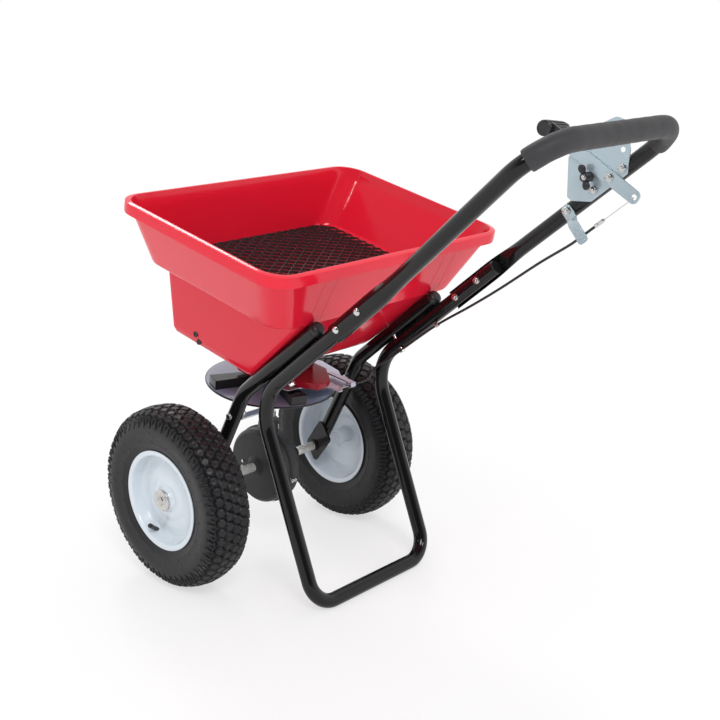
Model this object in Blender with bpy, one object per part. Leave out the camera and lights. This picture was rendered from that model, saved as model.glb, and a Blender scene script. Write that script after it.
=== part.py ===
"""Walk-behind broadcast spreader, parked on its stand.

Metres, Z up, X to the operator's right, Y forward.  The chassis is laid out in a
machine frame whose origin is the axle centre and whose hopper rim is level; that
frame leans back about the axle until the stand's foot bar touches the ground.
Touching pieces are kept FIT apart.
"""
import math

import bmesh
import bpy
import numpy as np
from mathutils import Matrix, Vector

for leftover in list(bpy.data.objects):
    bpy.data.objects.remove(leftover, do_unlink=True)

FIT = 0.0003

# Wheels and axle
WHEEL_RADIUS = 0.165
TYRE_HALF_WIDTH = 0.044
TYRE_CLEARANCE = 0.0123
RIM_FLANGE_RADIUS = 0.0913
RIM_SEAT_RADIUS = 0.0832
RIM_HALF_WIDTH = 0.037
RIM_SHEET = 0.0024
HUB_RADIUS = 0.0175
HUB_OUTBOARD = 0.030
HUB_SLEEVE_RADIUS = 0.0115
AXLE_RADIUS = 0.00635
AXLE_BORE = AXLE_RADIUS + FIT
HUB_CAP_RADIUS = 0.019
WHEEL_SEGMENTS = 28

# Frame tubes, one inch outside
TUBE_RADIUS = 0.0127
TUBE_WALL = 0.0018
TUBE_SEGMENTS = 12
RAIL_X = 0.144
RAIL_START = (-0.2070, 0.3550)
RAIL_DOWN = (0.6225, -0.7826)
RAIL_UP_NORMAL = (0.7826, 0.6225)
RAIL_PITCH = 2 * TUBE_RADIUS + FIT
WHEEL_TRACK_HALF = RAIL_X + TUBE_RADIUS + TYRE_CLEARANCE + TYRE_HALF_WIDTH
STAND_TOP = -0.1785
STAND_BEND = 0.085
STAND_LEG_POINT = (-0.198, 0.075)
STAND_LEG_DOWN = (-0.545, -0.838)
FOOT_Y = -0.302
FOOT_BEND = 0.045
LEG_TOP = -0.0270
LEG_BEND = 0.070
LEG_DOWN = (0.284, -0.959)
LEG_END_ABOVE_AXLE = 0.026
AXLE_PLATE_X = 0.1285
AXLE_PLATE_THICK = 0.004
BUSHING_END = AXLE_PLATE_X + AXLE_PLATE_THICK + 0.004

# Handle
SADDLE_END = -0.066
SADDLE_START = -0.192
SADDLE_THICK = 0.0034
HANDLE_KINK = -0.205
HANDLE_TOP = (0.1796, -0.5609, 0.8060)
HANDLE_BEND = 0.066
FOAM_RADIUS = 0.0168
BOLT_UPPER = -0.1401
BOLT_LOWER = -0.0833
STACK_BOLT = 0.0873
STACK_BOLT_X = 0.1375

# Shaft line, tipped forward of the hopper's upright
SHAFT_TILT = math.radians(5.0)
SHAFT_RADIUS = 0.005
SHAFT_BORE = SHAFT_RADIUS + FIT
SHAFT_FOOT = 0.0400
SHAFT_HEAD = 0.2620
CASE_RADIUS = 0.0715
CASE_HALF_WIDTH = 0.025
CASE_WALL = 0.003
NECK_RADIUS = 0.020
NECK_TOP = 0.094
GEAR_TEETH = 20
PINION_TEETH = 5
GEAR_PITCH_RADIUS = 0.049
IMPELLER_RADIUS = 0.121
IMPELLER_LEVEL = 0.1690
VANE_TOP = 0.1875
VANE_ANGLE = math.radians(161.5)
GATE_BOTTOM = 0.1915
GATE_THICK = 0.0020
OUTLET_BOTTOM = GATE_BOTTOM + GATE_THICK + FIT
OUTLET_THICK = 0.0130
FLOOR_BOTTOM = OUTLET_BOTTOM + OUTLET_THICK + FIT
PORT_V = -0.0400
PORT_HALF_X = 0.013
PORT_HALF_V = 0.016
NECK_HALF = 0.045
NECK_FRONT = 0.034
NECK_REAR = -0.062
NECK_LIP_Z = 0.2400

# Hopper
HOPPER_WALL = 0.003
RIM_Z = 0.511
RIM_UNDER_Z = 0.4915
STEP_Z = 0.3985
LOWER_Z = 0.255
SCREEN_THICK = 0.0020

# Control group, laid out along the right handle tube
BOLT_RADIUS = 0.0030
BOLT_HOLE = BOLT_RADIUS + FIT
PLATE_THICK = 0.0022
LEVER_THICK = 0.0030
LEVER_WIDTH = 0.022
PIVOT_U = 0.2345
PLATE_BOLT_UPPER_U = 0.2588
PLATE_BOLT_LOWER_U = 0.2013
BRACKET_U = 0.1450
WIRE_ARM = 0.0500
GRIP_ARM = 0.1310
LEVER_DIRECTION = (-0.340, -0.940)
LEVER_TRAVEL = math.radians(36.0)
WIRE_W = -LEVER_DIRECTION[1] * WIRE_ARM
WIRE_M = -0.0140
WIRE_RADIUS = 0.0008
WIRE_BORE = WIRE_RADIUS + FIT
CABLE_RADIUS = 0.0022
STOP_U = 0.2065
STOP_W = -0.0205
SLOT_SWEEP = math.radians(9.0)


# Materials

def material(name, colour, metallic, roughness):
    """A plain Principled material."""
    mat = bpy.data.materials.new(name)
    mat.use_nodes = True
    shader = mat.node_tree.nodes["Principled BSDF"]
    shader.inputs["Base Color"].default_value = (*colour, 1.0)
    shader.inputs["Metallic"].default_value = metallic
    shader.inputs["Roughness"].default_value = roughness
    mat.diffuse_color = (*colour, 1.0)
    return mat


BLACK_PAINT = material("black_paint", (0.012, 0.012, 0.013), 0.0, 0.25)
RED_PLASTIC = material("red_plastic", (0.62, 0.02, 0.035), 0.0, 0.28)
DARK_RED_PLASTIC = material("dark_red_plastic", (0.30, 0.01, 0.02), 0.0, 0.35)
BLACK_PLASTIC = material("black_plastic", (0.02, 0.02, 0.022), 0.0, 0.45)
GREY_PLASTIC = material("grey_plastic", (0.30, 0.29, 0.34), 0.0, 0.40)
FOAM = material("foam_rubber", (0.075, 0.07, 0.075), 0.0, 0.75)
TYRE = material("tyre_rubber", (0.018, 0.018, 0.018), 0.0, 0.8)
WHITE_PAINT = material("white_paint", (0.78, 0.80, 0.82), 0.0, 0.35)
ZINC = material("zinc_plate", (0.62, 0.66, 0.70), 1.0, 0.35)
STEEL = material("bright_steel", (0.60, 0.60, 0.60), 1.0, 0.30)
MESH_PAINT = material("mesh_paint", (0.02, 0.015, 0.015), 0.0, 0.5)


# Frames

def line_cross(p, d, q, e):
    """Where the 2-D lines p + t d and q + s e meet."""
    det = d[0] * -e[1] + d[1] * e[0]
    t = ((q[0] - p[0]) * -e[1] + (q[1] - p[1]) * e[0]) / det
    return (p[0] + t * d[0], p[1] + t * d[1])


STAND_KNEE = line_cross(RAIL_START, RAIL_DOWN, STAND_LEG_POINT, STAND_LEG_DOWN)
FOOT_Z = STAND_LEG_POINT[1] + (FOOT_Y - STAND_LEG_POINT[0]) * STAND_LEG_DOWN[1] / STAND_LEG_DOWN[0]
FOOT_REACH = math.hypot(FOOT_Y, FOOT_Z)
LEAN = math.asin((WHEEL_RADIUS - TUBE_RADIUS) / FOOT_REACH) - math.atan2(-FOOT_Z, -FOOT_Y)
AXLE_Y = 0.5 * (FOAM_RADIUS - WHEEL_RADIUS - HANDLE_TOP[1] * math.cos(LEAN) + HANDLE_TOP[2] * math.sin(LEAN))


def empty(name, parent, location, rotation):
    """An axis marker; children are laid out in its frame."""
    marker = bpy.data.objects.new(name, None)
    bpy.context.scene.collection.objects.link(marker)
    marker.empty_display_size = 0.03
    marker.hide_render = True
    marker.parent = parent
    marker.matrix_local = Matrix.Translation(location) @ rotation.to_4x4()
    return marker


LEVEL = Matrix.Identity(3)
axle_axis = empty("axle_axis", None, (0.0, AXLE_Y, WHEEL_RADIUS), LEVEL)
machine = empty("machine_frame", axle_axis, (0.0, 0.0, 0.0), Matrix.Rotation(LEAN, 3, "X"))
shaft_turn = Matrix.Rotation(-SHAFT_TILT, 3, "X")
shaft = empty("shaft_axis", machine, (0.0, 0.0, 0.0), shaft_turn)


def rail(t, x=RAIL_X, lift=0.0):
    """Point on the stand rail's centre line, t metres down from its datum."""
    return (x, RAIL_START[0] + t * RAIL_DOWN[0] + lift * RAIL_UP_NORMAL[0],
            RAIL_START[1] + t * RAIL_DOWN[1] + lift * RAIL_UP_NORMAL[1])


KINK = Vector(rail(HANDLE_KINK))
TUBE_AXIS = (Vector(HANDLE_TOP) - KINK).normalized()
OUTBOARD = (Vector((1.0, 0.0, 0.0)) - TUBE_AXIS.x * TUBE_AXIS).normalized()
REARWARD = OUTBOARD.cross(TUBE_AXIS)
control = empty("control_frame", machine, KINK, Matrix((TUBE_AXIS, REARWARD, OUTBOARD)).transposed())


def control_point(u, w, m):
    """A control-frame point in machine coordinates."""
    return KINK + u * TUBE_AXIS + w * REARWARD + m * OUTBOARD


def shaft_point(x, v, w):
    """A shaft-frame point in machine coordinates."""
    return shaft_turn @ Vector((x, v, w))


# Mesh helpers

def build(name, verts, faces, mat, parent, origin=(0.0, 0.0, 0.0), smooth=True):
    """One closed mesh object with its normals outward."""
    origin = Vector(origin)
    bm = bmesh.new()
    made = [bm.verts.new(Vector(v) - origin) for v in verts]
    for face in faces:
        bm.faces.new([made[i] for i in face])
    bmesh.ops.recalc_face_normals(bm, faces=bm.faces)
    mesh = bpy.data.meshes.new(name)
    bm.to_mesh(mesh)
    bm.free()
    mesh.materials.append(mat)
    obj = bpy.data.objects.new(name, mesh)
    bpy.context.scene.collection.objects.link(obj)
    obj.parent = parent
    obj.location = origin
    if smooth:
        mesh.shade_smooth()
        mesh.set_sharp_from_angle(angle=math.radians(38.0))
    return obj


def loft(rings, loop=False):
    """Skin equal-count rings; ends are capped unless the rings close on themselves."""
    count = len(rings[0])
    verts = [tuple(p) for ring in rings for p in ring]
    faces = []
    spans = len(rings) if loop else len(rings) - 1
    for i in range(spans):
        a = i * count
        b = ((i + 1) % len(rings)) * count
        for j in range(count):
            k = (j + 1) % count
            faces.append((a + j, a + k, b + k, b + j))
    if not loop:
        faces.append(tuple(range(count)))
        faces.append(tuple(range(a + count, a + 2 * count)))
    return verts, faces


def circle(centre, axis, side, radius, count):
    """Ring of points round an axis."""
    centre = Vector(centre)
    axis = Vector(axis).normalized()
    side = (Vector(side) - Vector(side).dot(axis) * axis).normalized()
    other = axis.cross(side)
    steps = [2 * math.pi * i / count for i in range(count)]
    return [centre + radius * (math.cos(s) * side + math.sin(s) * other) for s in steps]


def lathe(profile, axis, side, count, loop=False, centre=(0.0, 0.0, 0.0)):
    """Turn (distance along the axis, radius) pairs about an axis."""
    axis = Vector(axis)
    centre = Vector(centre)
    rings = [circle(centre + axis * along, axis, side, radius, count) for along, radius in profile]
    return loft(rings, loop)


def filleted(points, radii, step=math.radians(18.0)):
    """Polyline whose inner corners are replaced by arcs."""
    points = [Vector(p) for p in points]
    path = [points[0]]
    for i in range(1, len(points) - 1):
        into = (points[i] - points[i - 1]).normalized()
        out = (points[i + 1] - points[i]).normalized()
        turn = into.angle(out)
        side = (out - out.dot(into) * into).normalized()
        radius = radii[i - 1]
        start = points[i] - into * radius * math.tan(turn / 2)
        centre = start + side * radius
        count = max(1, round(turn / step))
        for k in range(count + 1):
            a = turn * k / count
            path.append(centre + radius * (math.sin(a) * into - math.cos(a) * side))
    path.append(points[-1])
    return path


def frames(path, side):
    """Centre, two cross directions and tangent at each path point."""
    rows = []
    side = Vector(side)
    for i, point in enumerate(path):
        before = path[max(i - 1, 0)]
        after = path[min(i + 1, len(path) - 1)]
        tangent = (after - before).normalized()
        side = (side - side.dot(tangent) * tangent).normalized()
        rows.append((point, side.copy(), tangent.cross(side), tangent))
    return rows


def tube_rings(path, side, radius, count):
    """Rings of a round tube swept along a path."""
    steps = [2 * math.pi * i / count for i in range(count)]
    return [[p + radius * (math.cos(s) * a + math.sin(s) * b) for s in steps]
            for p, a, b, _ in frames(path, side)]


def hollow_tube(path, side, radius, bore, count):
    """A tube open at both ends."""
    outer = tube_rings(path, side, radius, count)
    inner = tube_rings(path, side, bore, count)
    return loft(outer + inner[::-1], loop=True)


def rounded(points, radii, steps=4):
    """Closed 2-D outline with its corners rounded."""
    if isinstance(radii, float):
        radii = [radii] * len(points)
    outline = []
    for i, corner in enumerate(points):
        here = Vector(corner)
        into = (here - Vector(points[i - 1])).normalized()
        out = (Vector(points[(i + 1) % len(points)]) - here).normalized()
        turn = into.angle(out)
        side = (out - out.dot(into) * into).normalized()
        start = here - into * radii[i] * math.tan(turn / 2)
        centre = start + side * radii[i]
        for k in range(steps + 1):
            a = turn * k / steps
            outline.append(centre + radii[i] * (math.sin(a) * into - math.cos(a) * side))
    return outline


def prism(outline, low, high, place=None):
    """Extrude a 2-D outline between two heights; place maps (a, b, height) to 3-D."""
    place = place or (lambda a, b, c: Vector((a, b, c)))
    rings = [[place(p[0], p[1], level) for p in outline] for level in (low, high)]
    return loft(rings)


def combine(target, verts, faces, operation="DIFFERENCE"):
    """Boolean a plain solid into an object; the solid is given in the object's parent frame."""
    tool = build("tool", verts, faces, target.data.materials[0], target.parent, smooth=False)
    bpy.context.view_layer.update()
    modifier = target.modifiers.new("combine", "BOOLEAN")
    modifier.operation = operation
    modifier.solver = "EXACT"
    modifier.object = tool
    graph = bpy.context.evaluated_depsgraph_get()
    mesh = bpy.data.meshes.new_from_object(target.evaluated_get(graph))
    old = target.data
    target.modifiers.clear()
    target.data = mesh
    mesh.name = old.name
    bpy.data.meshes.remove(old)
    bpy.data.objects.remove(tool, do_unlink=True)
    mesh.shade_smooth()
    mesh.set_sharp_from_angle(angle=math.radians(38.0))


def drill(target, start, end, radius, count=10):
    """Cut a round hole between two points."""
    start = Vector(start)
    axis = Vector(end) - start
    side = axis.orthogonal()
    length = axis.length
    verts, faces = lathe([(0.0, radius), (length, radius)], axis.normalized(), side, count, centre=start)
    combine(target, verts, faces)


def fastener(name, start, axis, stations, mat, parent, count=6):
    """Bolt with its nut: (distance, corner radius) stations along an axis."""
    axis = Vector(axis).normalized()
    verts, faces = lathe(stations, axis, axis.orthogonal(), count, centre=start)
    return build(name, verts, faces, mat, parent, smooth=False)


X = Vector((1.0, 0.0, 0.0))
Y = Vector((0.0, 1.0, 0.0))
Z = Vector((0.0, 0.0, 1.0))
BORE = TUBE_RADIUS - TUBE_WALL


# Stand: one tube down both sides and across the foot

stand_corners = [rail(STAND_TOP, -RAIL_X), (-RAIL_X, *STAND_KNEE), (-RAIL_X, FOOT_Y, FOOT_Z),
                 (RAIL_X, FOOT_Y, FOOT_Z), (RAIL_X, *STAND_KNEE), rail(STAND_TOP)]
stand_path = filleted(stand_corners, [STAND_BEND, FOOT_BEND, FOOT_BEND, STAND_BEND])
verts, faces = hollow_tube(stand_path, X, TUBE_RADIUS, BORE, TUBE_SEGMENTS)
stand_frame = build("stand_frame", verts, faces, BLACK_PAINT, machine)

# Leg tubes, each with the axle plate welded to its inner side

LEG_KNEE = line_cross(rail(0.0, lift=RAIL_PITCH)[1:], RAIL_DOWN, (0.0, 0.0), LEG_DOWN)
LEG_END = (-LEG_DOWN[0] * LEG_END_ABOVE_AXLE, -LEG_DOWN[1] * LEG_END_ABOVE_AXLE)
PLATE_CORNERS = [(-0.006, 0.062), (-0.040, 0.030), (-0.010, -0.034), (0.020, 0.000)]
legs = {}
for label, sign in (("left", -1), ("right", 1)):
    x = sign * RAIL_X
    leg_path = filleted([rail(LEG_TOP, x, RAIL_PITCH), (x, *LEG_KNEE), (x, *LEG_END)], [LEG_BEND])
    verts, faces = hollow_tube(leg_path, X, TUBE_RADIUS, BORE, TUBE_SEGMENTS)
    legs[label] = build("leg_tube_" + label, verts, faces, BLACK_PAINT, machine)
    verts, faces = prism(rounded(PLATE_CORNERS, 0.007, 3), sign * AXLE_PLATE_X,
                         sign * (AXLE_PLATE_X + AXLE_PLATE_THICK), lambda a, b, c: Vector((c, a, b)))
    combine(legs[label], verts, faces, "UNION")
    drill(legs[label], (sign * 0.120, 0, 0), (sign * 0.140, 0, 0), 0.0098, 14)

# Rubber plugs in the four open tube ends

for label, sign in (("left", -1), ("right", 1)):
    up = Vector((0.0, -RAIL_DOWN[0], -RAIL_DOWN[1]))
    leg_end = rail(LEG_TOP, sign * RAIL_X, RAIL_PITCH)
    stand_end = rail(STAND_TOP, sign * RAIL_X)
    stem = BORE - FIT
    dome = [(-0.015, stem), (FIT, stem), (FIT, TUBE_RADIUS), (0.006, TUBE_RADIUS - 0.0003),
            (0.010, 0.0098), (0.0122, 0.0050)]
    verts, faces = lathe(dome, up, X, TUBE_SEGMENTS, centre=leg_end)
    build("leg_cap_" + label, verts, faces, BLACK_PLASTIC, machine)
    flat = [(-0.015, stem), (FIT, stem), (FIT, TUBE_RADIUS), (0.0030, TUBE_RADIUS - 0.0010)]
    verts, faces = lathe(flat, up, X, TUBE_SEGMENTS, centre=stand_end)
    build("stand_plug_" + label, verts, faces, BLACK_PLASTIC, machine)

# Handle: crushed saddles at the foot, splayed sides, top bar

SECTION_HALF = 9


def handle_section(centre, out, other, crush):
    """Tube section whose inboard half is pressed in; crush runs from 0 round to 1 saddle."""
    radius = TUBE_RADIUS + crush * (FIT + SADDLE_THICK)
    inner = TUBE_RADIUS + 2 * FIT
    ring = []
    for i in range(SECTION_HALF):
        a = math.pi * (i / (SECTION_HALF - 1) - 0.5)
        ring.append(centre + radius * (math.cos(a) * out + math.sin(a) * other))
    for i in range(1, SECTION_HALF - 1):
        a = math.pi * (0.5 - i / (SECTION_HALF - 1))
        reach = (inner * crush - radius * (1.0 - crush)) * math.cos(a)
        rise = (inner * crush + radius * (1.0 - crush)) * math.sin(a)
        ring.append(centre + reach * out + rise * other)
    return ring


MIRROR = Matrix.Scale(-1.0, 4, X)
saddle_ts = [SADDLE_END, SADDLE_START, SADDLE_START - 0.006, SADDLE_START - 0.015, SADDLE_START - 0.026]
crushes = [1.0, 1.0, 0.85, 0.40, 0.0]
right_rings = [handle_section(Vector(rail(t)), X, Vector((0, *RAIL_UP_NORMAL)), crush)
               for t, crush in zip(saddle_ts, crushes)]
left_rings = [[MIRROR @ p for p in ring] for ring in right_rings[::-1]]
right_top = Vector(HANDLE_TOP)
left_top = MIRROR @ right_top


def handle_path(past_kink):
    """Centre line of the round part of the handle, right side to left side."""
    start = KINK + TUBE_AXIS * past_kink
    return filleted([start, right_top, left_top, MIRROR @ start], [HANDLE_BEND, HANDLE_BEND])


bar_rings = [handle_section(point, a, b, 0.0) for point, a, b, _ in frames(handle_path(0.045), OUTBOARD)]
verts, faces = loft(right_rings + bar_rings + left_rings)
handle_tube = build("handle_tube", verts, faces, BLACK_PAINT, machine)
verts, faces = loft(tube_rings(handle_path(0.030), OUTBOARD, BORE, 10))
combine(handle_tube, verts, faces)
for sign in (-1, 1):
    drain = Vector((sign, 1, 1)) * (KINK + TUBE_AXIS * 0.040)
    drill(handle_tube, drain, drain + Vector((0, -RAIL_UP_NORMAL[0], -RAIL_UP_NORMAL[1])) * 0.02, 0.0025, 6)

# Foam grip over the top bar and its two bends

foam_outer = tube_rings(handle_path(0.045), OUTBOARD, FOAM_RADIUS, 16)[2:-3]
foam_inner = tube_rings(handle_path(0.045), OUTBOARD, TUBE_RADIUS + FIT, 16)[2:-3]
verts, faces = loft(foam_outer + foam_inner[::-1], loop=True)
build("foam_grip", verts, faces, FOAM, machine)

# Cross brace between the legs, with an arm forward to the shaft

BRACE_LOW = 0.1550
BRACE_HIGH = 0.1580
BRACE_Y = -0.0470
BRACE_END = RAIL_X - TUBE_RADIUS - FIT
BRACE_BOLT_Z = 0.1670
BRACE_BOLT_Y = BRACE_BOLT_Z * LEG_DOWN[0] / LEG_DOWN[1]
BRACE_HALF = 0.0070
brace_outline = [(-BRACE_END, BRACE_Y - BRACE_HALF), (BRACE_END, BRACE_Y - BRACE_HALF),
                 (BRACE_END, BRACE_Y + BRACE_HALF), (0.026, BRACE_Y + BRACE_HALF), (0.016, -0.026),
                 (0.016, 0.022), (0.010, 0.028), (-0.010, 0.028), (-0.016, 0.022), (-0.016, -0.026),
                 (-0.026, BRACE_Y + BRACE_HALF), (-BRACE_END, BRACE_Y + BRACE_HALF)]
verts, faces = prism(brace_outline, BRACE_LOW, BRACE_HIGH)
cross_brace = build("cross_brace", verts, faces, ZINC, machine, smooth=False)
for sign in (-1, 1):
    tab = [(BRACE_Y - BRACE_HALF, BRACE_LOW), (BRACE_Y + BRACE_HALF, BRACE_LOW),
           (BRACE_BOLT_Y + 0.0075, BRACE_BOLT_Z), (BRACE_BOLT_Y + 0.005, BRACE_BOLT_Z + 0.008),
           (BRACE_BOLT_Y - 0.005, BRACE_BOLT_Z + 0.008), (BRACE_BOLT_Y - 0.0075, BRACE_BOLT_Z)]
    verts, faces = prism(tab, sign * (BRACE_END - 0.003), sign * BRACE_END, lambda a, b, c: Vector((c, a, b)))
    combine(cross_brace, verts, faces, "UNION")
for sign in (-1, 1):
    drill(cross_brace, (sign * 0.120, BRACE_BOLT_Y, BRACE_BOLT_Z),
          (sign * 0.140, BRACE_BOLT_Y, BRACE_BOLT_Z), BOLT_HOLE)
drill(cross_brace, shaft_point(0, 0, 0.145), shaft_point(0, 0, 0.170), SHAFT_RADIUS + 0.0006)
for label, sign in (("left", -1), ("right", 1)):
    outer = sign * (RAIL_X + 0.02)
    drill(legs[label], (sign * (RAIL_X - 0.02), BRACE_BOLT_Y, BRACE_BOLT_Z),
          (outer, BRACE_BOLT_Y, BRACE_BOLT_Z), BOLT_HOLE)
    start = Vector((sign * (RAIL_X + TUBE_RADIUS + FIT + 0.0035), BRACE_BOLT_Y, BRACE_BOLT_Z))
    grip = 0.0035 + 2 * FIT + 2 * TUBE_RADIUS + 2 * FIT + 0.003
    fastener("brace_bolt_" + label, start, (-sign, 0, 0),
             [(0, 0.0062), (0.0035, 0.0062), (0.0035, BOLT_RADIUS), (grip, BOLT_RADIUS),
              (grip, 0.0062), (grip + 0.004, 0.0062), (grip + 0.004, BOLT_RADIUS),
              (grip + 0.006, BOLT_RADIUS)],
             STEEL, machine)

# Hopper: bowl, step, lower box with a raked back, and sloping floor

SLOPE_START = Vector((0.0, RAIL_START[0] + (RAIL_PITCH + TUBE_RADIUS + FIT) * RAIL_UP_NORMAL[0],
                      RAIL_START[1] + (RAIL_PITCH + TUBE_RADIUS + FIT) * RAIL_UP_NORMAL[1]))


def rake_y(z, offset=0.0):
    """Rear of the lower box at a height; offset moves forward square to the rake."""
    t = (z - SLOPE_START.z - offset * RAIL_UP_NORMAL[1]) / RAIL_DOWN[1]
    return SLOPE_START.y + offset * RAIL_UP_NORMAL[0] + t * RAIL_DOWN[0]


def hopper_ring(half, front, rear, corner, z, place=None):
    """Rounded rectangle ring, 24 points."""
    outline = rounded([(half, front), (-half, front), (-half, rear), (half, rear)], corner, 5)
    place = place or (lambda a, b, c: Vector((a, b, c)))
    return [place(p[0], p[1], z) for p in outline]


WALL = HOPPER_WALL
hopper_rings = [
    hopper_ring(NECK_HALF, NECK_FRONT, NECK_REAR, 0.010, FLOOR_BOTTOM, shaft_point),
    hopper_ring(NECK_HALF, 0.052, -0.048, 0.010, NECK_LIP_Z),
    hopper_ring(0.148, 0.133, rake_y(LOWER_Z), 0.010, LOWER_Z),
    hopper_ring(0.172, 0.1415, rake_y(0.3965), 0.010, 0.3965),
    hopper_ring(0.2190, 0.1420, -0.1925, 0.040, STEP_Z),
    hopper_ring(0.2660, 0.1490, -0.2220, 0.040, RIM_UNDER_Z),
    hopper_ring(0.2780, 0.1600, -0.2340, 0.046, RIM_UNDER_Z),
    hopper_ring(0.2780, 0.1600, -0.2340, 0.046, RIM_Z - 0.003),
    hopper_ring(0.2750, 0.1570, -0.2310, 0.044, RIM_Z),
    hopper_ring(0.2670, 0.1490, -0.2230, 0.040, RIM_Z),
    hopper_ring(0.2630, 0.1460, -0.2190, 0.037, RIM_UNDER_Z),
    hopper_ring(0.2160, 0.1390, -0.1890, 0.037, STEP_Z + WALL),
    hopper_ring(0.169, 0.1385, rake_y(0.3995, WALL), 0.008, 0.3995),
    hopper_ring(0.145, 0.130, rake_y(LOWER_Z + 0.0025, WALL), 0.008, LOWER_Z + 0.0025),
    hopper_ring(NECK_HALF - WALL, 0.049, -0.045, 0.008, NECK_LIP_Z + WALL),
    hopper_ring(NECK_HALF - WALL, NECK_FRONT - WALL, NECK_REAR + WALL, 0.008, FLOOR_BOTTOM + WALL,
                shaft_point),
]
verts, faces = loft(hopper_rings)
hopper = build("hopper", verts, faces, RED_PLASTIC, machine)
drill(hopper, shaft_point(0, 0, FLOOR_BOTTOM - 0.01), shaft_point(0, 0, FLOOR_BOTTOM + 0.01), 0.0075, 12)


def port_block(low, high, half_x, half_v, shift=0.0):
    """Rectangular cutter for the outlet port."""
    outline = rounded([(shift + half_x, PORT_V + half_v), (shift - half_x, PORT_V + half_v),
                       (shift - half_x, PORT_V - half_v), (shift + half_x, PORT_V - half_v)], 0.004, 2)
    return prism(outline, low, high, shaft_point)


combine(hopper, *port_block(FLOOR_BOTTOM - 0.01, FLOOR_BOTTOM + 0.01, PORT_HALF_X, PORT_HALF_V))

# Stack bolts through stand, leg tube and the hopper's raked back

for label, sign in (("left", -1), ("right", 1)):
    x = sign * STACK_BOLT_X
    low = Vector(rail(STACK_BOLT, x, -TUBE_RADIUS - 0.0055))
    high = Vector(rail(STACK_BOLT, x, RAIL_PITCH + TUBE_RADIUS + 0.02))
    drill(stand_frame, low, high, BOLT_HOLE)
    drill(legs[label], low, high, BOLT_HOLE)
    drill(hopper, low, high, BOLT_HOLE)
    through = TUBE_RADIUS * 2 + RAIL_PITCH + WALL + 5 * FIT
    fastener("stack_bolt_" + label, low, (0, *RAIL_UP_NORMAL),
             [(0, 0.0055), (0.005, 0.0055), (0.005, BOLT_RADIUS), (0.005 + through, BOLT_RADIUS),
              (0.005 + through, 0.0050), (0.0085 + through, 0.0050)], STEEL, machine)

# Handle bolts: head outboard on the saddle, nut on the inner side of the stand tube

for label, sign in (("left", -1), ("right", 1)):
    for level, t in (("upper", BOLT_UPPER), ("lower", BOLT_LOWER)):
        outer = Vector(rail(t, sign * (RAIL_X + 0.03)))
        inner = Vector(rail(t, sign * (RAIL_X - 0.03)))
        drill(handle_tube, outer, inner, BOLT_HOLE)
        drill(stand_frame, outer, inner, BOLT_HOLE)
        reach = TUBE_RADIUS + FIT + SADDLE_THICK + FIT
        start = Vector(rail(t, sign * (RAIL_X + reach + 0.0035)))
        grip = 0.0035 + reach + TUBE_RADIUS + FIT
        fastener("handle_bolt_" + level + "_" + label, start, (-sign, 0, 0),
                 [(0, 0.0040), (0.0012, 0.0062), (0.0035, 0.0062), (0.0035, BOLT_RADIUS), (grip, BOLT_RADIUS),
                  (grip, 0.0062), (grip + 0.004, 0.0062), (grip + 0.004, BOLT_RADIUS),
                  (grip + 0.0065, BOLT_RADIUS)],
                 STEEL, machine)

# Hopper screen: diamond mesh resting on the inner step

SCREEN_Z = STEP_Z + WALL + FIT
screen_outline = rounded([(0.2150, 0.1375), (-0.2150, 0.1375), (-0.2150, -0.1875), (0.2150, -0.1875)],
                         0.036, 4)
verts, faces = prism(screen_outline, SCREEN_Z, SCREEN_Z + SCREEN_THICK)
screen = build("hopper_screen", verts, faces, MESH_PAINT, machine, smooth=False)
PITCH_X = 0.0660
PITCH_Y = 0.0480
hole_verts = []
hole_faces = []
for row in range(-6, 7):
    for column in range(-4, 5):
        cx = (column + 0.5 * (row % 2)) * PITCH_X
        cy = -0.0275 + row * PITCH_Y / 2
        if abs(cx) > 0.176 or abs(cy + 0.0275) > 0.130:
            continue
        if abs(cx) > 0.140 and abs(cy + 0.0275) > 0.100:
            continue
        diamond = [(cx + 0.0300, cy), (cx, cy + 0.0212), (cx - 0.0300, cy), (cx, cy - 0.0212)]
        verts, faces = prism(diamond, SCREEN_Z - 0.002, SCREEN_Z + SCREEN_THICK + 0.002)
        hole_faces += [tuple(i + len(hole_verts) for i in face) for face in faces]
        hole_verts += verts
combine(screen, hole_verts, hole_faces)

# Outlet housing under the floor and the sliding shut-off gate beneath it

housing_outline = rounded([(0.062, 0.036), (-0.062, 0.036), (-0.062, -0.034), (-0.004, -0.126),
                           (0.024, -0.126), (0.060, -0.078)], 0.006, 3)
lower_ring = [shaft_point(p[0] * 0.95 + 0.0003, (p[1] + 0.04) * 0.95 - 0.04,
                          OUTLET_BOTTOM) for p in housing_outline]
upper_ring = [shaft_point(p[0], p[1], OUTLET_BOTTOM + OUTLET_THICK) for p in housing_outline]
verts, faces = loft([lower_ring, upper_ring])
outlet = build("outlet_housing", verts, faces, DARK_RED_PLASTIC, machine)
combine(outlet, *port_block(OUTLET_BOTTOM - 0.01, OUTLET_BOTTOM + 0.03, PORT_HALF_X, PORT_HALF_V))
drill(outlet, shaft_point(0, 0, OUTLET_BOTTOM - 0.01), shaft_point(0, 0, OUTLET_BOTTOM + 0.03), 0.0065, 12)

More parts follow.
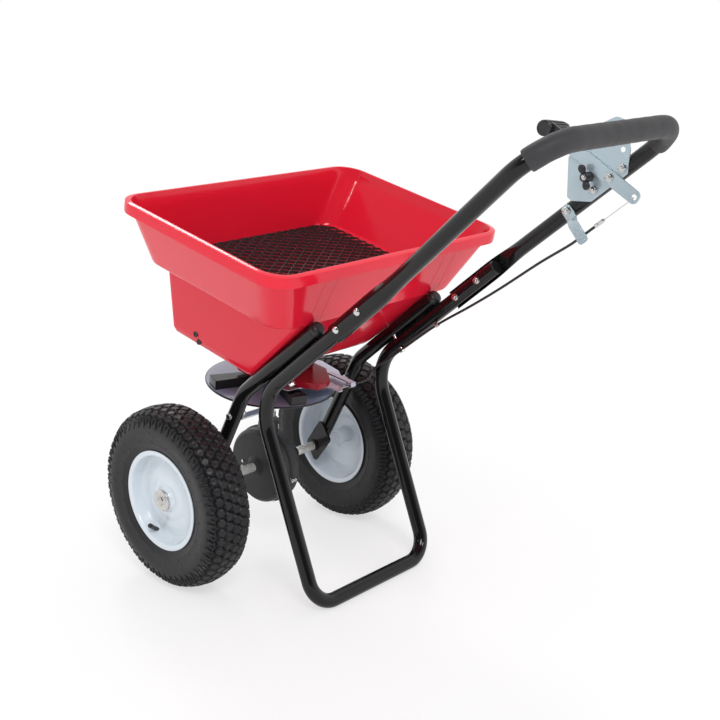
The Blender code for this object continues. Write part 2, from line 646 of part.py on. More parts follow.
WIRE_STROKE = WIRE_ARM * (math.sin(math.atan2(0.340, 0.940))
                          + math.sin(LEVER_TRAVEL - math.atan2(0.340, 0.940)))
GATE_TOP = GATE_BOTTOM + GATE_THICK
EAR_X = 0.0320
EAR_V = -0.1400
gate_outline = [(0.096, -0.014), (0.104, -0.024), (0.096, -0.0765), (0.076, -0.105), (0.064, -0.127),
                (0.0385, -0.137), (0.0385, -0.146), (0.0255, -0.146), (0.0255, -0.124),
                (0.010, -0.098), (-0.048, -0.090), (-0.048, -0.014)]
gate_radii = [0.004] * 4 + [0.003, 0.002, 0.004, 0.004, 0.002] + [0.004] * 3
verts, faces = prism(rounded(gate_outline, gate_radii, 2), GATE_BOTTOM, GATE_TOP)
gate = build("shutoff_gate", verts, faces, ZINC, shaft, smooth=False)
half_x = PORT_HALF_X + 0.001
half_v = PORT_HALF_V + 0.001
outline = rounded([(half_x, PORT_V + half_v), (-half_x, PORT_V + half_v),
                   (-half_x, PORT_V - half_v), (half_x, PORT_V - half_v)], 0.004, 2)
combine(gate, *prism(outline, GATE_BOTTOM - 0.005, GATE_TOP + 0.005))
drill(gate, (EAR_X, EAR_V, GATE_BOTTOM - 0.004), (EAR_X, EAR_V, GATE_TOP + 0.004), WIRE_BORE, 8)
GUIDES = [(0.0440, -0.0240), (0.0440, -0.0800)]
GUIDE_RADIUS = 0.0020
for gx, gv in GUIDES:
    half = GUIDE_RADIUS + FIT
    slot = [(gx + WIRE_STROKE + half + 0.001, gv + half), (gx - half - 0.001, gv + half),
            (gx - half - 0.001, gv - half), (gx + WIRE_STROKE + half + 0.001, gv - half)]
    combine(gate, *prism(slot, GATE_BOTTOM - 0.005, GATE_TOP + 0.005))
for number, (gx, gv) in enumerate(GUIDES, 1):
    base = shaft_point(gx, gv, GATE_BOTTOM - FIT - 0.0014)
    tip = OUTLET_BOTTOM - GATE_BOTTOM + FIT + 0.0014 + 0.008
    drill(outlet, shaft_point(gx, gv, OUTLET_BOTTOM - 0.01), shaft_point(gx, gv, OUTLET_BOTTOM + 0.0088),
          GUIDE_RADIUS + FIT, 8)
    fastener("gate_guide_%d" % number, base, shaft_turn @ Z,
             [(0, 0.0042), (0.0014, 0.0042), (0.0014, GUIDE_RADIUS), (tip, GUIDE_RADIUS)], STEEL, machine, 8)

# Gear case: two halves round the bevel gears, with a neck up the shaft

case_bolts = [(-CASE_RADIUS - 0.007, 0.003)]
for label, sign, boss in (("left", -1, CASE_HALF_WIDTH + 0.015), ("right", 1, 0.0770)):
    profile = [(0.0, CASE_RADIUS + 0.003), (0.0030, CASE_RADIUS + 0.003), (0.0030, CASE_RADIUS),
               (0.0190, CASE_RADIUS), (CASE_HALF_WIDTH, CASE_RADIUS - 0.006),
               (CASE_HALF_WIDTH, 0.020), (CASE_HALF_WIDTH + 0.013, 0.015), (boss, 0.0125),
               (boss, AXLE_BORE + FIT),
               (CASE_HALF_WIDTH - CASE_WALL, AXLE_BORE + FIT),
               (CASE_HALF_WIDTH - CASE_WALL, CASE_RADIUS - 0.009),
               (0.0175, CASE_RADIUS - CASE_WALL), (0.0, CASE_RADIUS - CASE_WALL)]
    side_profile = [(sign * (along + FIT / 2), radius) for along, radius in profile]
    verts, faces = lathe(side_profile, X, Z, 22, loop=True)
    half_case = build("gear_case_" + label, verts, faces, BLACK_PLASTIC, machine)
    verts, faces = lathe([(0.055, NECK_RADIUS), (NECK_TOP, NECK_RADIUS - 0.002)], shaft_turn @ Z, X, 16)
    combine(half_case, verts, faces, "UNION")
    for by, bz in case_bolts:
        verts, faces = lathe([(sign * FIT / 2, 0.0075), (sign * 0.004, 0.0075)], X, Z, 10, centre=(0, by, bz))
        combine(half_case, verts, faces, "UNION")
    keep = [(-sign * 0.05, 0.2), (-sign * 0.05, -0.2), (sign * FIT / 2, -0.2), (sign * FIT / 2, 0.2)]
    verts, faces = prism(keep, -0.2, 0.2, lambda a, b, c: Vector((a, b, c)))
    combine(half_case, verts, faces)
    verts, faces = lathe([(sign * -0.01, CASE_RADIUS - CASE_WALL), (sign * 0.0175, CASE_RADIUS - CASE_WALL),
                          (sign * (CASE_HALF_WIDTH - CASE_WALL), CASE_RADIUS - 0.009)], X, Z, 22)
    combine(half_case, verts, faces)
    drill(half_case, shaft_point(0, 0, 0.05), shaft_point(0, 0, 0.12), SHAFT_RADIUS + 0.0006, 12)
    for by, bz in case_bolts:
        drill(half_case, (-0.01, by, bz), (0.01, by, bz), 0.0023, 8)
for by, bz in case_bolts:
    screw = [(0, 0.0035), (0.0035, 0.0035), (0.0035, 0.0020), (0.0043, 0.0020), (0.0121, 0.0020),
             (0.0121, 0.0035), (0.0151, 0.0035)]
    fastener("case_screw", (-0.0078, by, bz), X, screw, STEEL, machine)

# Axle with its crown gear

axle_end = WHEEL_TRACK_HALF + HUB_OUTBOARD
verts, faces = lathe([(-axle_end, AXLE_RADIUS - 0.001), (0.001 - axle_end, AXLE_RADIUS),
                      (axle_end - 0.001, AXLE_RADIUS),
                      (axle_end, AXLE_RADIUS - 0.001)], X, Z, 14)
build("axle", verts, faces, STEEL, axle_axis)
CROWN_ROOT = 0.0145
CROWN_TIP = 0.0110
CROWN_BACK = 0.0185


def tooth_pattern(teeth, root_share, tip_share):
    """Angle and height (0 root, 1 tip) stations round a toothed wheel."""
    pitch = 2 * math.pi / teeth
    rows = []
    for i in range(teeth):
        middle = i * pitch
        rows += [(middle - root_share * pitch / 2, 0), (middle - tip_share * pitch / 2, 1),
                 (middle + tip_share * pitch / 2, 1), (middle + root_share * pitch / 2, 0)]
    return rows


rows = tooth_pattern(GEAR_TEETH, 0.42, 0.22)
half_pitch = math.pi / GEAR_TEETH


def crown_ring(radius, root, tip):
    """Ring of the crown gear; root and tip are distances along the axle."""
    ring = []
    for angle, tooth in rows:
        a = angle + half_pitch
        ring.append(Vector((root + (tip - root) * tooth, radius * math.sin(a), radius * math.cos(a))))
    return ring


crown = [crown_ring(AXLE_BORE, CROWN_ROOT, CROWN_ROOT), crown_ring(0.0425, CROWN_ROOT, CROWN_TIP),
         crown_ring(0.0555, CROWN_ROOT, CROWN_TIP), crown_ring(0.0560, CROWN_BACK, CROWN_BACK),
         crown_ring(AXLE_BORE, CROWN_BACK, CROWN_BACK)]
verts, faces = loft(crown, loop=True)
verts = [shaft_turn @ Vector(v) for v in verts]
verts = [Matrix.Rotation(LEAN, 3, "X") @ v for v in verts]
build("crown_gear", verts, faces, STEEL, axle_axis, smooth=False)

# Impeller shaft, pinion, impeller, collar and agitator

verts, faces = lathe([(SHAFT_FOOT, SHAFT_RADIUS), (SHAFT_HEAD, SHAFT_RADIUS)], Z, X, 12)
build("impeller_shaft", verts, faces, STEEL, shaft)
rows = tooth_pattern(PINION_TEETH, 0.50, 0.20)


def pinion_ring(level, inside=False):
    """Ring of the pinion about the shaft; the inner ring is its bore."""
    ring = []
    for angle, tooth in rows:
        radius = SHAFT_BORE if inside else (0.0140 if tooth else 0.0095)
        ring.append(Vector((radius * math.cos(angle), radius * math.sin(angle), level)))
    return ring


verts, faces = loft([pinion_ring(0.0425), pinion_ring(0.0555), pinion_ring(0.0555, True),
                     pinion_ring(0.0425, True)],
                    loop=True)
build("pinion", verts, faces, STEEL, shaft, smooth=False)
verts, faces = lathe([(0.0985, SHAFT_BORE), (0.0985, 0.0130), (0.1085, 0.0130), (0.1085, SHAFT_BORE)], Z, X,
                     14, loop=True)
build("shaft_collar", verts, faces, STEEL, shaft)

DISC_TOP = IMPELLER_LEVEL + 0.0012
DISC_LOW = IMPELLER_LEVEL - 0.0012
DISC_LIP = 0.0030
VANE_END = IMPELLER_RADIUS - 0.0020
verts, faces = lathe([(0.1615, SHAFT_BORE), (0.1615, 0.0130), (DISC_LOW, 0.0150),
                      (DISC_LOW, IMPELLER_RADIUS - DISC_LIP), (DISC_LOW + 0.0005, IMPELLER_RADIUS),
                      (DISC_TOP + 0.0008, IMPELLER_RADIUS), (DISC_TOP, IMPELLER_RADIUS - DISC_LIP),
                      (DISC_TOP, 0.0180), (0.1860, 0.0130), (0.1860, SHAFT_BORE)],
                     Z, X, 32, loop=True)
impeller = build("impeller", verts, faces, GREY_PLASTIC, shaft)
for i in range(4):
    a = VANE_ANGLE + i * math.pi / 2
    along = Vector((math.cos(a), math.sin(a)))
    across = Vector((-math.sin(a), math.cos(a)))
    for step, (first, last, half, low, high, operation) in enumerate(
            [(0.026, VANE_END, 0.0135, DISC_TOP - 0.0006, VANE_TOP, "UNION"),
             (0.028, VANE_END - 0.002, 0.0115, DISC_LOW - 0.005, VANE_TOP - 0.002, "DIFFERENCE")]):
        taper = 0.75
        corners = [along * first - across * half * taper, along * last - across * half,
                   along * last + across * half, along * first + across * half * taper]
        combine(impeller, *prism(corners, low, high), operation)

AGITATOR_LOW = 0.2460
AGITATOR_HIGH = 0.2570
AGITATOR_ARM = 0.2520
verts, faces = lathe([(AGITATOR_LOW, SHAFT_BORE), (AGITATOR_LOW, 0.0110), (AGITATOR_HIGH, 0.0110),
                      (AGITATOR_HIGH, SHAFT_BORE)], Z, X, 12, loop=True)
agitator = build("agitator", verts, faces, STEEL, shaft)
for sign in (-1, 1):
    path = filleted([Vector((sign * 0.008, 0, AGITATOR_ARM)), Vector((sign * 0.034, 0, AGITATOR_ARM)),
                     Vector((sign * 0.046, 0, AGITATOR_ARM + 0.0155))], [0.008])
    combine(agitator, *loft(tube_rings(path, Y, 0.0028, 8)), "UNION")

# Wheels

tyre_half = [(0.0, 0.1650), (0.028, 0.1620), (0.040, 0.1490), (TYRE_HALF_WIDTH, 0.1300), (0.0395, 0.1060),
             (0.0343, 0.0925), (0.0343, 0.0835), (0.0250, 0.0835), (0.0265, 0.0960), (0.0365, 0.1340),
             (0.0, 0.1570)]
tyre_profile = tyre_half + [(-a, r) for a, r in tyre_half[-2:0:-1]]
HUB_INBOARD = WHEEL_TRACK_HALF - BUSHING_END - 2 * FIT
rim_profile = [(RIM_HALF_WIDTH, RIM_FLANGE_RADIUS), (0.0346, RIM_FLANGE_RADIUS), (0.0346, RIM_SEAT_RADIUS),
               (-0.0346, RIM_SEAT_RADIUS), (-0.0346, RIM_FLANGE_RADIUS), (-RIM_HALF_WIDTH, RIM_FLANGE_RADIUS),
               (-RIM_HALF_WIDTH, 0.0808), (-0.0020, 0.0790), (-0.0040, 0.0600), (0.0060, 0.0530),
               (0.0090, HUB_RADIUS), (-0.0350, HUB_RADIUS), (-0.0350, HUB_SLEEVE_RADIUS),
               (-HUB_INBOARD, HUB_SLEEVE_RADIUS), (-HUB_INBOARD, AXLE_BORE + 0.0002),
               (HUB_OUTBOARD, AXLE_BORE + 0.0002), (HUB_OUTBOARD, HUB_RADIUS), (0.0125, 0.0190),
               (0.0085, 0.0550), (-0.0010, 0.0620), (0.0010, 0.0785), (RIM_HALF_WIDTH, 0.0808)]
for label, sign in (("left", -1), ("right", 1)):
    centre = Vector((sign * WHEEL_TRACK_HALF, 0, 0))
    parts = (("tyre_", tyre_profile, TYRE), ("rim_", rim_profile, WHITE_PAINT))
    for prefix, profile, mat in parts:
        verts, faces = lathe([(sign * a, r) for a, r in profile], X, Z, WHEEL_SEGMENTS, loop=True,
                             centre=centre)
        wheel_part = build(prefix + label, verts, faces, mat, axle_axis, origin=centre)
        if prefix == "rim_":
            rim = wheel_part
    base = HUB_OUTBOARD + FIT
    cap = [(base, HUB_CAP_RADIUS), (base + 0.0025, HUB_CAP_RADIUS), (base + 0.0035, 0.0120),
           (base + 0.0075, 0.0095),
           (base + 0.0095, 0.0050)]
    verts, faces = lathe([(sign * a, r) for a, r in cap], X, Z, 18, centre=centre)
    hub_cap = build("hub_cap_" + label, verts, faces, ZINC, axle_axis, origin=centre)
    stem_angle = math.radians(-62.0)
    radial = Vector((0, math.cos(stem_angle), math.sin(stem_angle)))
    hole = centre + Vector((sign * 0.0180, 0, 0))
    drill(rim, hole + radial * 0.0740, hole + radial * 0.0900, 0.0043, 10)
    stem = [(-0.0075, 0.0060), (-0.0035, 0.0060), (-0.0035, 0.0036), (0.0240, 0.0034), (0.0260, 0.0024)]
    seat = hole + radial * 0.0800
    verts, faces = lathe(stem, -radial, X, 10, centre=seat)
    build("valve_" + label, verts, faces, BLACK_PLASTIC, axle_axis, origin=centre)

# Flanged bushings between the axle and the leg plates

for label, sign in (("left", -1), ("right", 1)):
    inner = sign * (AXLE_PLATE_X - FIT)
    ring = [(sign * (AXLE_PLATE_X - FIT - 0.003), AXLE_BORE), (sign * (AXLE_PLATE_X - FIT - 0.003), 0.0150),
            (inner, 0.0150), (inner, 0.0094), (sign * BUSHING_END, 0.0094), (sign * BUSHING_END, AXLE_BORE)]
    verts, faces = lathe(ring, X, Z, 14, loop=True)
    build("axle_bushing_" + label, verts, faces, BLACK_PLASTIC, machine)

# Control plate and its bolts

PLATE_OUT = -(TUBE_RADIUS + FIT)
PLATE_IN = PLATE_OUT - PLATE_THICK
plate_outline = rounded([(0.1865, 0.0115), (0.2600, 0.0115), (0.2845, -0.0150), (0.3080, -0.0560),
                         (0.2980, -0.0740),
                         (0.2700, -0.0780), (0.1938, -0.0660), (0.1571, -0.0171), (0.1600, -0.0080)],
                        [0.004, 0.006, 0.006, 0.008, 0.008, 0.008, 0.005, 0.004, 0.003], 3)
verts, faces = prism(plate_outline, PLATE_IN, PLATE_OUT)
plate = build("control_plate", verts, faces, ZINC, control, smooth=False)
tube_bolts = [("plate_bolt_upper", PLATE_BOLT_UPPER_U, PLATE_IN),
              ("plate_bolt_lower", PLATE_BOLT_LOWER_U, PLATE_IN)]
PIVOT_IN = PLATE_IN - FIT - LEVER_THICK
BRACKET_OUT = PLATE_OUT
BRACKET_THICK = 0.0024
tube_bolts.append(("pivot_bolt", PIVOT_U, PIVOT_IN))
tube_bolts.append(("bracket_bolt", BRACKET_U, BRACKET_OUT - BRACKET_THICK))
for name, u, face in tube_bolts:
    drill(handle_tube, control_point(u, 0, -0.03), control_point(u, 0, 0.03), BOLT_HOLE, 12)
    if name != "bracket_bolt":
        drill(plate, (u, 0, -0.03), (u, 0, 0.03), BOLT_HOLE, 12)
    count = 12 if name == "pivot_bolt" else 6
    head = face - FIT
    grip = TUBE_RADIUS + FIT - head
    fastener(name, (u, 0, head - 0.0050), Z,
             [(0, BOLT_RADIUS), (0.0015, BOLT_RADIUS), (0.0015, 0.0060), (0.0050, 0.0060),
              (0.0050, BOLT_RADIUS),
              (0.0050 + grip, BOLT_RADIUS), (0.0050 + grip, 0.0060), (0.0085 + grip, 0.0060)], STEEL,
             control, count)
drill(plate, (0.2747, -0.0223, -0.03), (0.2747, -0.0223, 0.0), 0.0042, 12)
stop_radius = math.hypot(STOP_U - PIVOT_U, STOP_W)
stop_angle = math.atan2(STOP_W, STOP_U - PIVOT_U)
arc = [stop_angle - SLOT_SWEEP * k / 4 for k in range(5)]
half = BOLT_HOLE + 0.0002
far = stop_radius + half
near = stop_radius - half
slot = [(PIVOT_U + far * math.cos(a), far * math.sin(a)) for a in arc]
end = arc[-1]
slot += [(PIVOT_U + stop_radius * math.cos(end) + half * math.cos(end - s), stop_radius * math.sin(end)
          + half * math.sin(end - s)) for s in (math.radians(45), math.radians(90), math.radians(135))]
slot += [(PIVOT_U + near * math.cos(a), near * math.sin(a)) for a in arc[::-1]]
start = arc[0]
slot += [(PIVOT_U + stop_radius * math.cos(start) - half * math.cos(start - s), stop_radius * math.sin(start)
          - half * math.sin(start - s)) for s in (math.radians(45), math.radians(90), math.radians(135))]
combine(plate, *prism(slot, PLATE_IN - 0.005, PLATE_OUT + 0.005))

# Lever, its grip, the rate stop and the wing knob

along = Vector(LEVER_DIRECTION).normalized()
across = Vector((-along.y, along.x))
pivot = Vector((PIVOT_U, 0.0))
tail = pivot - along * (WIRE_ARM + 0.0085)
tip = pivot + along * (GRIP_ARM + 0.0090)
strap = [tail + across * LEVER_WIDTH / 2, tail - across * LEVER_WIDTH / 2,
         tip - across * LEVER_WIDTH / 2, tip + across * LEVER_WIDTH / 2]
verts, faces = prism(rounded(strap, 0.0088, 5), PIVOT_IN, PIVOT_IN + LEVER_THICK)
lever = build("control_lever", verts, faces, ZINC, control, origin=(PIVOT_U, 0, 0), smooth=False)
drill(lever, (PIVOT_U, 0, -0.03), (PIVOT_U, 0, 0), BOLT_HOLE, 12)
eye = pivot - along * WIRE_ARM
drill(lever, (eye.x, eye.y, -0.03), (eye.x, eye.y, 0), 0.0045, 12)
grip_at = pivot + along * GRIP_ARM
ribs = []
for i in range(24):
    ribs.append(0.0125 if i % 2 else 0.0112)
rings = []
for m, scale in ((-0.0300, 0.90), (-0.0285, 1.0), (0.0400, 0.92), (0.0440, 0.70)):
    rings.append([Vector((grip_at.x + r * scale * math.cos(i * math.pi / 12),
                          grip_at.y + r * scale * math.sin(i * math.pi / 12), m))
                  for i, r in enumerate(ribs)])
verts, faces = loft(rings)
lever_grip = build("lever_grip", verts, faces, BLACK_PLASTIC, control, origin=(PIVOT_U, 0, 0))
tail = pivot + along * 0.090
tip = pivot + along * (GRIP_ARM + 0.0090 + FIT)
grown = LEVER_WIDTH / 2 + FIT
pocket = [tail + across * grown, tail - across * grown, tip - across * grown, tip + across * grown]
combine(lever_grip, *prism(pocket, PIVOT_IN - FIT, PIVOT_IN + LEVER_THICK + FIT))

stop_turn = Vector((STOP_U, STOP_W, 0))
stop = [(PLATE_OUT + FIT + 0.0030, 0.0052), (PLATE_OUT + FIT, 0.0052), (PLATE_OUT + FIT, BOLT_RADIUS),
        (PLATE_IN - FIT, BOLT_RADIUS), (PLATE_IN - FIT, 0.0080), (PLATE_IN - FIT - 0.0075, 0.0080),
        (PLATE_IN - FIT - 0.0075, BOLT_RADIUS), (PLATE_IN - FIT - 0.0210, BOLT_RADIUS)]
verts, faces = lathe(stop, Z, X, 12, centre=stop_turn)
build("rate_stop", verts, faces, BLACK_PLASTIC, control, origin=(PIVOT_U, 0, 0))
KNOB_BASE = PLATE_IN - FIT - 0.0075 - FIT
verts, faces = lathe([(KNOB_BASE, 0.0080), (KNOB_BASE - 0.0100, 0.0065)], Z, X, 12, centre=stop_turn)
knob = build("wing_knob", verts, faces, BLACK_PLASTIC, control, origin=(STOP_U, STOP_W, 0))
wing = Vector((0.32, -0.947)).normalized()
for sign in (-1, 1):
    side = Vector((-wing.y, wing.x))
    middle = Vector((STOP_U, STOP_W)) + sign * wing * 0.0105
    lobe = [middle + wing * (0.0062 * math.cos(a)) + side * (0.0030 * math.sin(a))
            for a in [k * math.pi / 5 for k in range(10)]]
    combine(knob, *prism(lobe, KNOB_BASE - 0.0145, KNOB_BASE - 0.0035), "UNION")
drill(knob, (STOP_U, STOP_W, -0.06), (STOP_U, STOP_W, 0), BOLT_HOLE, 10)

# Cable bracket: bent strap off the handle tube with a loop round the cable

bend = [(-0.0095, BRACKET_OUT), (0.0150, BRACKET_OUT), (0.0230, BRACKET_OUT - 0.0055),
        (0.0600, BRACKET_OUT - 0.0055)]
section = bend + [(w, m - BRACKET_THICK) for w, m in bend[::-1]]
verts, faces = prism(section, BRACKET_U - 0.0095, BRACKET_U + 0.0095, lambda a, b, c: Vector((c, a, b)))
bracket = build("cable_bracket", verts, faces, ZINC, control, smooth=False)
mask = rounded([(BRACKET_U + 0.0092, -0.0092), (BRACKET_U - 0.0092, -0.0092), (BRACKET_U - 0.0092, 0.0590),
                (BRACKET_U + 0.0092, 0.0590)], [0.0085, 0.0085, 0.0055, 0.0055], 4)
combine(bracket, *prism(mask, -0.04, 0.0), "INTERSECT")
loop_low = (BRACKET_U - 0.0050, WIRE_W, WIRE_M)
loop_high = (BRACKET_U + 0.0050, WIRE_W, WIRE_M)
combine(bracket, *lathe([(0, 0.0058), (0.0100, 0.0058)], X, Y, 12, centre=loop_low), "UNION")
drill(bracket, (BRACKET_U - 0.02, WIRE_W, WIRE_M), (BRACKET_U + 0.02, WIRE_W, WIRE_M), CABLE_RADIUS + FIT, 12)
drill(bracket, (BRACKET_U, 0, -0.03), (BRACKET_U, 0, 0), BOLT_HOLE)

# Control cable: outer casing with a blind bore at each end, and the two bare wire ends

CASING_TOP = 0.1840
BORE_TOP = 0.0480
BORE_BOTTOM = 0.0420
WIRE_LEVEL = GATE_TOP + FIT + WIRE_RADIUS
casing_end = shaft_point(0.0640, EAR_V, WIRE_LEVEL)
straight = shaft_point(0.1080, EAR_V, WIRE_LEVEL)
casing_start = control_point(CASING_TOP, WIRE_W, WIRE_M)
strap = control_point(0.1250, WIRE_W, WIRE_M)
CLIP_POINT = Vector((0.1350, -0.2282, 0.3534))
hung = [Vector((0.1405, -0.4004, 0.5351)), Vector((0.1390, -0.3382, 0.4658)),
        Vector((0.1370, -0.2886, 0.4138)),
        CLIP_POINT, Vector((0.1280, -0.1730, 0.2868)), Vector((0.1260, -0.1453, 0.2534)),
        Vector((0.1220, -0.1210, 0.2246)), Vector((0.1175, -0.1205, 0.2115))]


def smooth_route(points, spacing):
    """Evenly spaced points along a Catmull-Rom curve; the first and last only set its ends' slope."""
    fine = []
    for i in range(1, len(points) - 2):
        a, b, c, d = points[i - 1:i + 3]
        for k in range(24):
            s = k / 24
            fine.append(0.5 * (2 * b + (c - a) * s + (2 * a - 5 * b + 4 * c - d) * s ** 2
                               + (3 * b - a - 3 * c + d) * s ** 3))
    kept = [fine[0]]
    for point in fine[1:]:
        if (point - kept[-1]).length >= spacing:
            kept.append(point)
    return kept


middle = smooth_route([casing_start, strap] + hung + [straight, casing_end], 0.012)
casing_path = [casing_start, casing_start.lerp(strap, 0.5)] + middle
casing_path += [straight, straight.lerp(casing_end, 0.5), casing_end]
outer = tube_rings(casing_path, OUTBOARD, CABLE_RADIUS, 6)
top_axis = (strap - casing_start).normalized()
foot_axis = (straight - casing_end).normalized()


def bore_ring(point, like):
    """Bore ring matched point for point to a casing ring."""
    centre = sum(like, Vector()) / len(like)
    return [point + (p - centre).normalized() * WIRE_BORE for p in like]


rings = [bore_ring(casing_start + top_axis * BORE_TOP, outer[0]), bore_ring(casing_start, outer[0])] + outer
rings += [bore_ring(casing_end, outer[-1]), bore_ring(casing_end + foot_axis * BORE_BOTTOM, outer[-1])]
verts, faces = loft(rings)
build("cable_casing", verts, faces, BLACK_PLASTIC, machine)

ferrule = [(0.1720, CABLE_RADIUS + FIT), (0.1720, 0.0034), (0.1880, 0.0034), (0.1905, 0.0022),
           (0.1905, WIRE_BORE),
           (CASING_TOP + FIT, WIRE_BORE), (CASING_TOP + FIT, CABLE_RADIUS + FIT)]
verts, faces = lathe(ferrule, X, Y, 10, loop=True, centre=(0, WIRE_W, WIRE_M))
build("cable_ferrule", verts, faces, STEEL, control)

wire_path = filleted([Vector((CASING_TOP - 0.010, WIRE_W, WIRE_M)), Vector((eye.x - 0.0005, WIRE_W, WIRE_M)),
                      Vector((eye.x - 0.0005, WIRE_W, PIVOT_IN - 0.0030))], [0.0015], math.radians(30))
verts, faces = loft(tube_rings(wire_path, Y, WIRE_RADIUS, 6))
build("control_wire_upper", verts, faces, STEEL, control)
wire_path = filleted([Vector((0.0640 + 0.038, EAR_V, WIRE_LEVEL)), Vector((EAR_X, EAR_V, WIRE_LEVEL)),
                      Vector((EAR_X, EAR_V, GATE_BOTTOM - 0.0015))], [0.0015], math.radians(30))
verts, faces = loft(tube_rings(wire_path, Y, WIRE_RADIUS, 6))
build("control_wire_lower", verts, faces, STEEL, shaft)

# Cable anchor on the outlet housing and clip on the stand tube

anchor = [(0.058, -0.0850), (0.0700, -0.0850), (0.0700, -0.1440), (0.0580, -0.1440)]
verts, faces = prism(anchor, OUTLET_BOTTOM + 0.0045, OUTLET_BOTTOM + 0.0070, shaft_point)
cable_anchor = build("cable_anchor", verts, faces, ZINC, machine, smooth=False)
combine(cable_anchor, *lathe([(0.0580, 0.0052), (0.0700, 0.0052)], X, Z, 12,
                             centre=shaft_point(0, EAR_V, WIRE_LEVEL)), "UNION")
combine(cable_anchor, *lathe([(0.0500, CABLE_RADIUS + FIT), (0.0900, CABLE_RADIUS + FIT)], X, Z, 12,
                             centre=shaft_point(0, EAR_V, WIRE_LEVEL)))
near_clip = min(range(len(casing_path)), key=lambda i: (casing_path[i] - CLIP_POINT).length)
clip_centre = casing_path[near_clip]
clip_axis = (casing_path[near_clip + 1] - casing_path[near_clip - 1]).normalized()
beside = rail((clip_centre.y - RAIL_START[0]) * RAIL_DOWN[0] + (clip_centre.z - RAIL_START[1]) * RAIL_DOWN[1])
arm = Vector(beside) - clip_centre
arm_side = (arm - arm.dot(clip_axis) * clip_axis).normalized()
arm_across = clip_axis.cross(arm_side)
verts, faces = lathe([(-0.0035, CABLE_RADIUS + FIT), (-0.0035, 0.0042), (0.0035, 0.0042),
                      (0.0035, CABLE_RADIUS + FIT)],
                     clip_axis, arm_side, 12, loop=True, centre=clip_centre)
clip = build("cable_clip", verts, faces, ZINC, machine)
clip_arm = [(0.0034, 0.0009), (0.0034, -0.0009), (arm.length - TUBE_RADIUS - FIT, -0.0009),
            (arm.length - TUBE_RADIUS - FIT, 0.0009)]
combine(clip, *prism(clip_arm, -0.0030, 0.0030,
                     lambda a, b, c: clip_centre + arm_side * a + arm_across * b + clip_axis * c), "UNION")
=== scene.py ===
import math

import bmesh
import bpy
import numpy as np
from mathutils import Matrix, Vector


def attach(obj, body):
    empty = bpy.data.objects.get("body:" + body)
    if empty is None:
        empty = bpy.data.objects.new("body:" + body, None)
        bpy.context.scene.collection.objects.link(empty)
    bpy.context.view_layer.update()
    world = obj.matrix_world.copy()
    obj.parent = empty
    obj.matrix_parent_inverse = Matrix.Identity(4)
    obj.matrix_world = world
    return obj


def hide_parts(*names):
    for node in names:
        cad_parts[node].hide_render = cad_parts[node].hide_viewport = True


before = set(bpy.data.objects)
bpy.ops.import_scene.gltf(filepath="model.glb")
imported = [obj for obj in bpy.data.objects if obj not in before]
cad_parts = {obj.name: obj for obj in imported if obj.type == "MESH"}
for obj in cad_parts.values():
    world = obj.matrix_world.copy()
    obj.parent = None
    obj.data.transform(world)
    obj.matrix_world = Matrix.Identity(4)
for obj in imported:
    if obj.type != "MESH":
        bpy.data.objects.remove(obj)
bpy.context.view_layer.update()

# Stand: one length of one inch steel tube, bent down both sides and across the foot,
# powder coated gloss black. The machine leans back on it about the axle, so every shape
# here is laid out level in machine coordinates and then turned to the floor.

LEAN = math.radians(13.33979)
AXLE = np.array([0.0, 0.2917655, 0.165])
TUBE_RADIUS = 0.0127
TUBE_BORE = 0.0109
RAIL_X = 0.144
RAIL_START = np.array([-0.2070, 0.3550])
RAIL_DOWN = np.array([0.6225, -0.7826])
RAIL_UP = np.array([0.7826, 0.6225])
STAND_TOP = -0.1785
STAND_KNEE = (-0.10187, 0.22283)
FOOT = (-0.302, -0.08491)


def machine(points):
    """Machine to floor coordinates: a turn by LEAN about the X axis, then a shift to the axle centre."""
    p = np.asarray(points, float)
    c, s = math.cos(LEAN), math.sin(LEAN)
    return np.stack([p[..., 0], c * p[..., 1] - s * p[..., 2], s * p[..., 1] + c * p[..., 2]], -1) + AXLE


def rail(t, x=RAIL_X, lift=0.0):
    """Point t metres down the rail from its datum, and lift metres above it, square to it."""
    y, z = RAIL_START + t * RAIL_DOWN + lift * RAIL_UP
    return np.array([x, y, z])


def unit(v):
    """A vector over its own length."""
    v = np.asarray(v, float)
    return v / np.linalg.norm(v)


def rounded_path(points, radii, steps=8, closed=False):
    """Polyline whose corners become arcs: centre + r (sin a times the way in, minus cos a times the
    side of the turn), with a from 0 to the turn; points may have any number of coordinates."""
    points = [np.asarray(p, float) for p in points]
    radii = np.broadcast_to(radii, len(points))
    rows = []
    for i, here in enumerate(points):
        if not closed and i in (0, len(points) - 1):
            rows.append(here[None])
            continue
        into = unit(here - points[i - 1])
        out = unit(points[(i + 1) % len(points)] - here)
        turn = math.acos(max(-1.0, min(1.0, float(into @ out))))
        if turn < 1e-4 or radii[i] < 1e-7:
            rows.append(here[None])
            continue
        side = unit(out - (out @ into) * into)
        centre = here - into * radii[i] * math.tan(turn / 2) + side * radii[i]
        a = np.linspace(0.0, turn, steps + 1)[:, None]
        rows.append(centre + radii[i] * (np.sin(a) * into - np.cos(a) * side))
    return np.concatenate(rows)


def carried(path, side):
    """Two cross directions at each path point, the first kept as near as it can be to the one before."""
    ahead = np.vstack([path[1:], path[-1:]]) - np.vstack([path[:1], path[:-1]])
    ahead /= np.linalg.norm(ahead, axis=1)[:, None]
    firsts = []
    for tangent in ahead:
        side = unit(side - (np.asarray(side) @ tangent) * tangent)
        firsts.append(side)
    firsts = np.array(firsts)
    return firsts, np.cross(ahead, firsts)


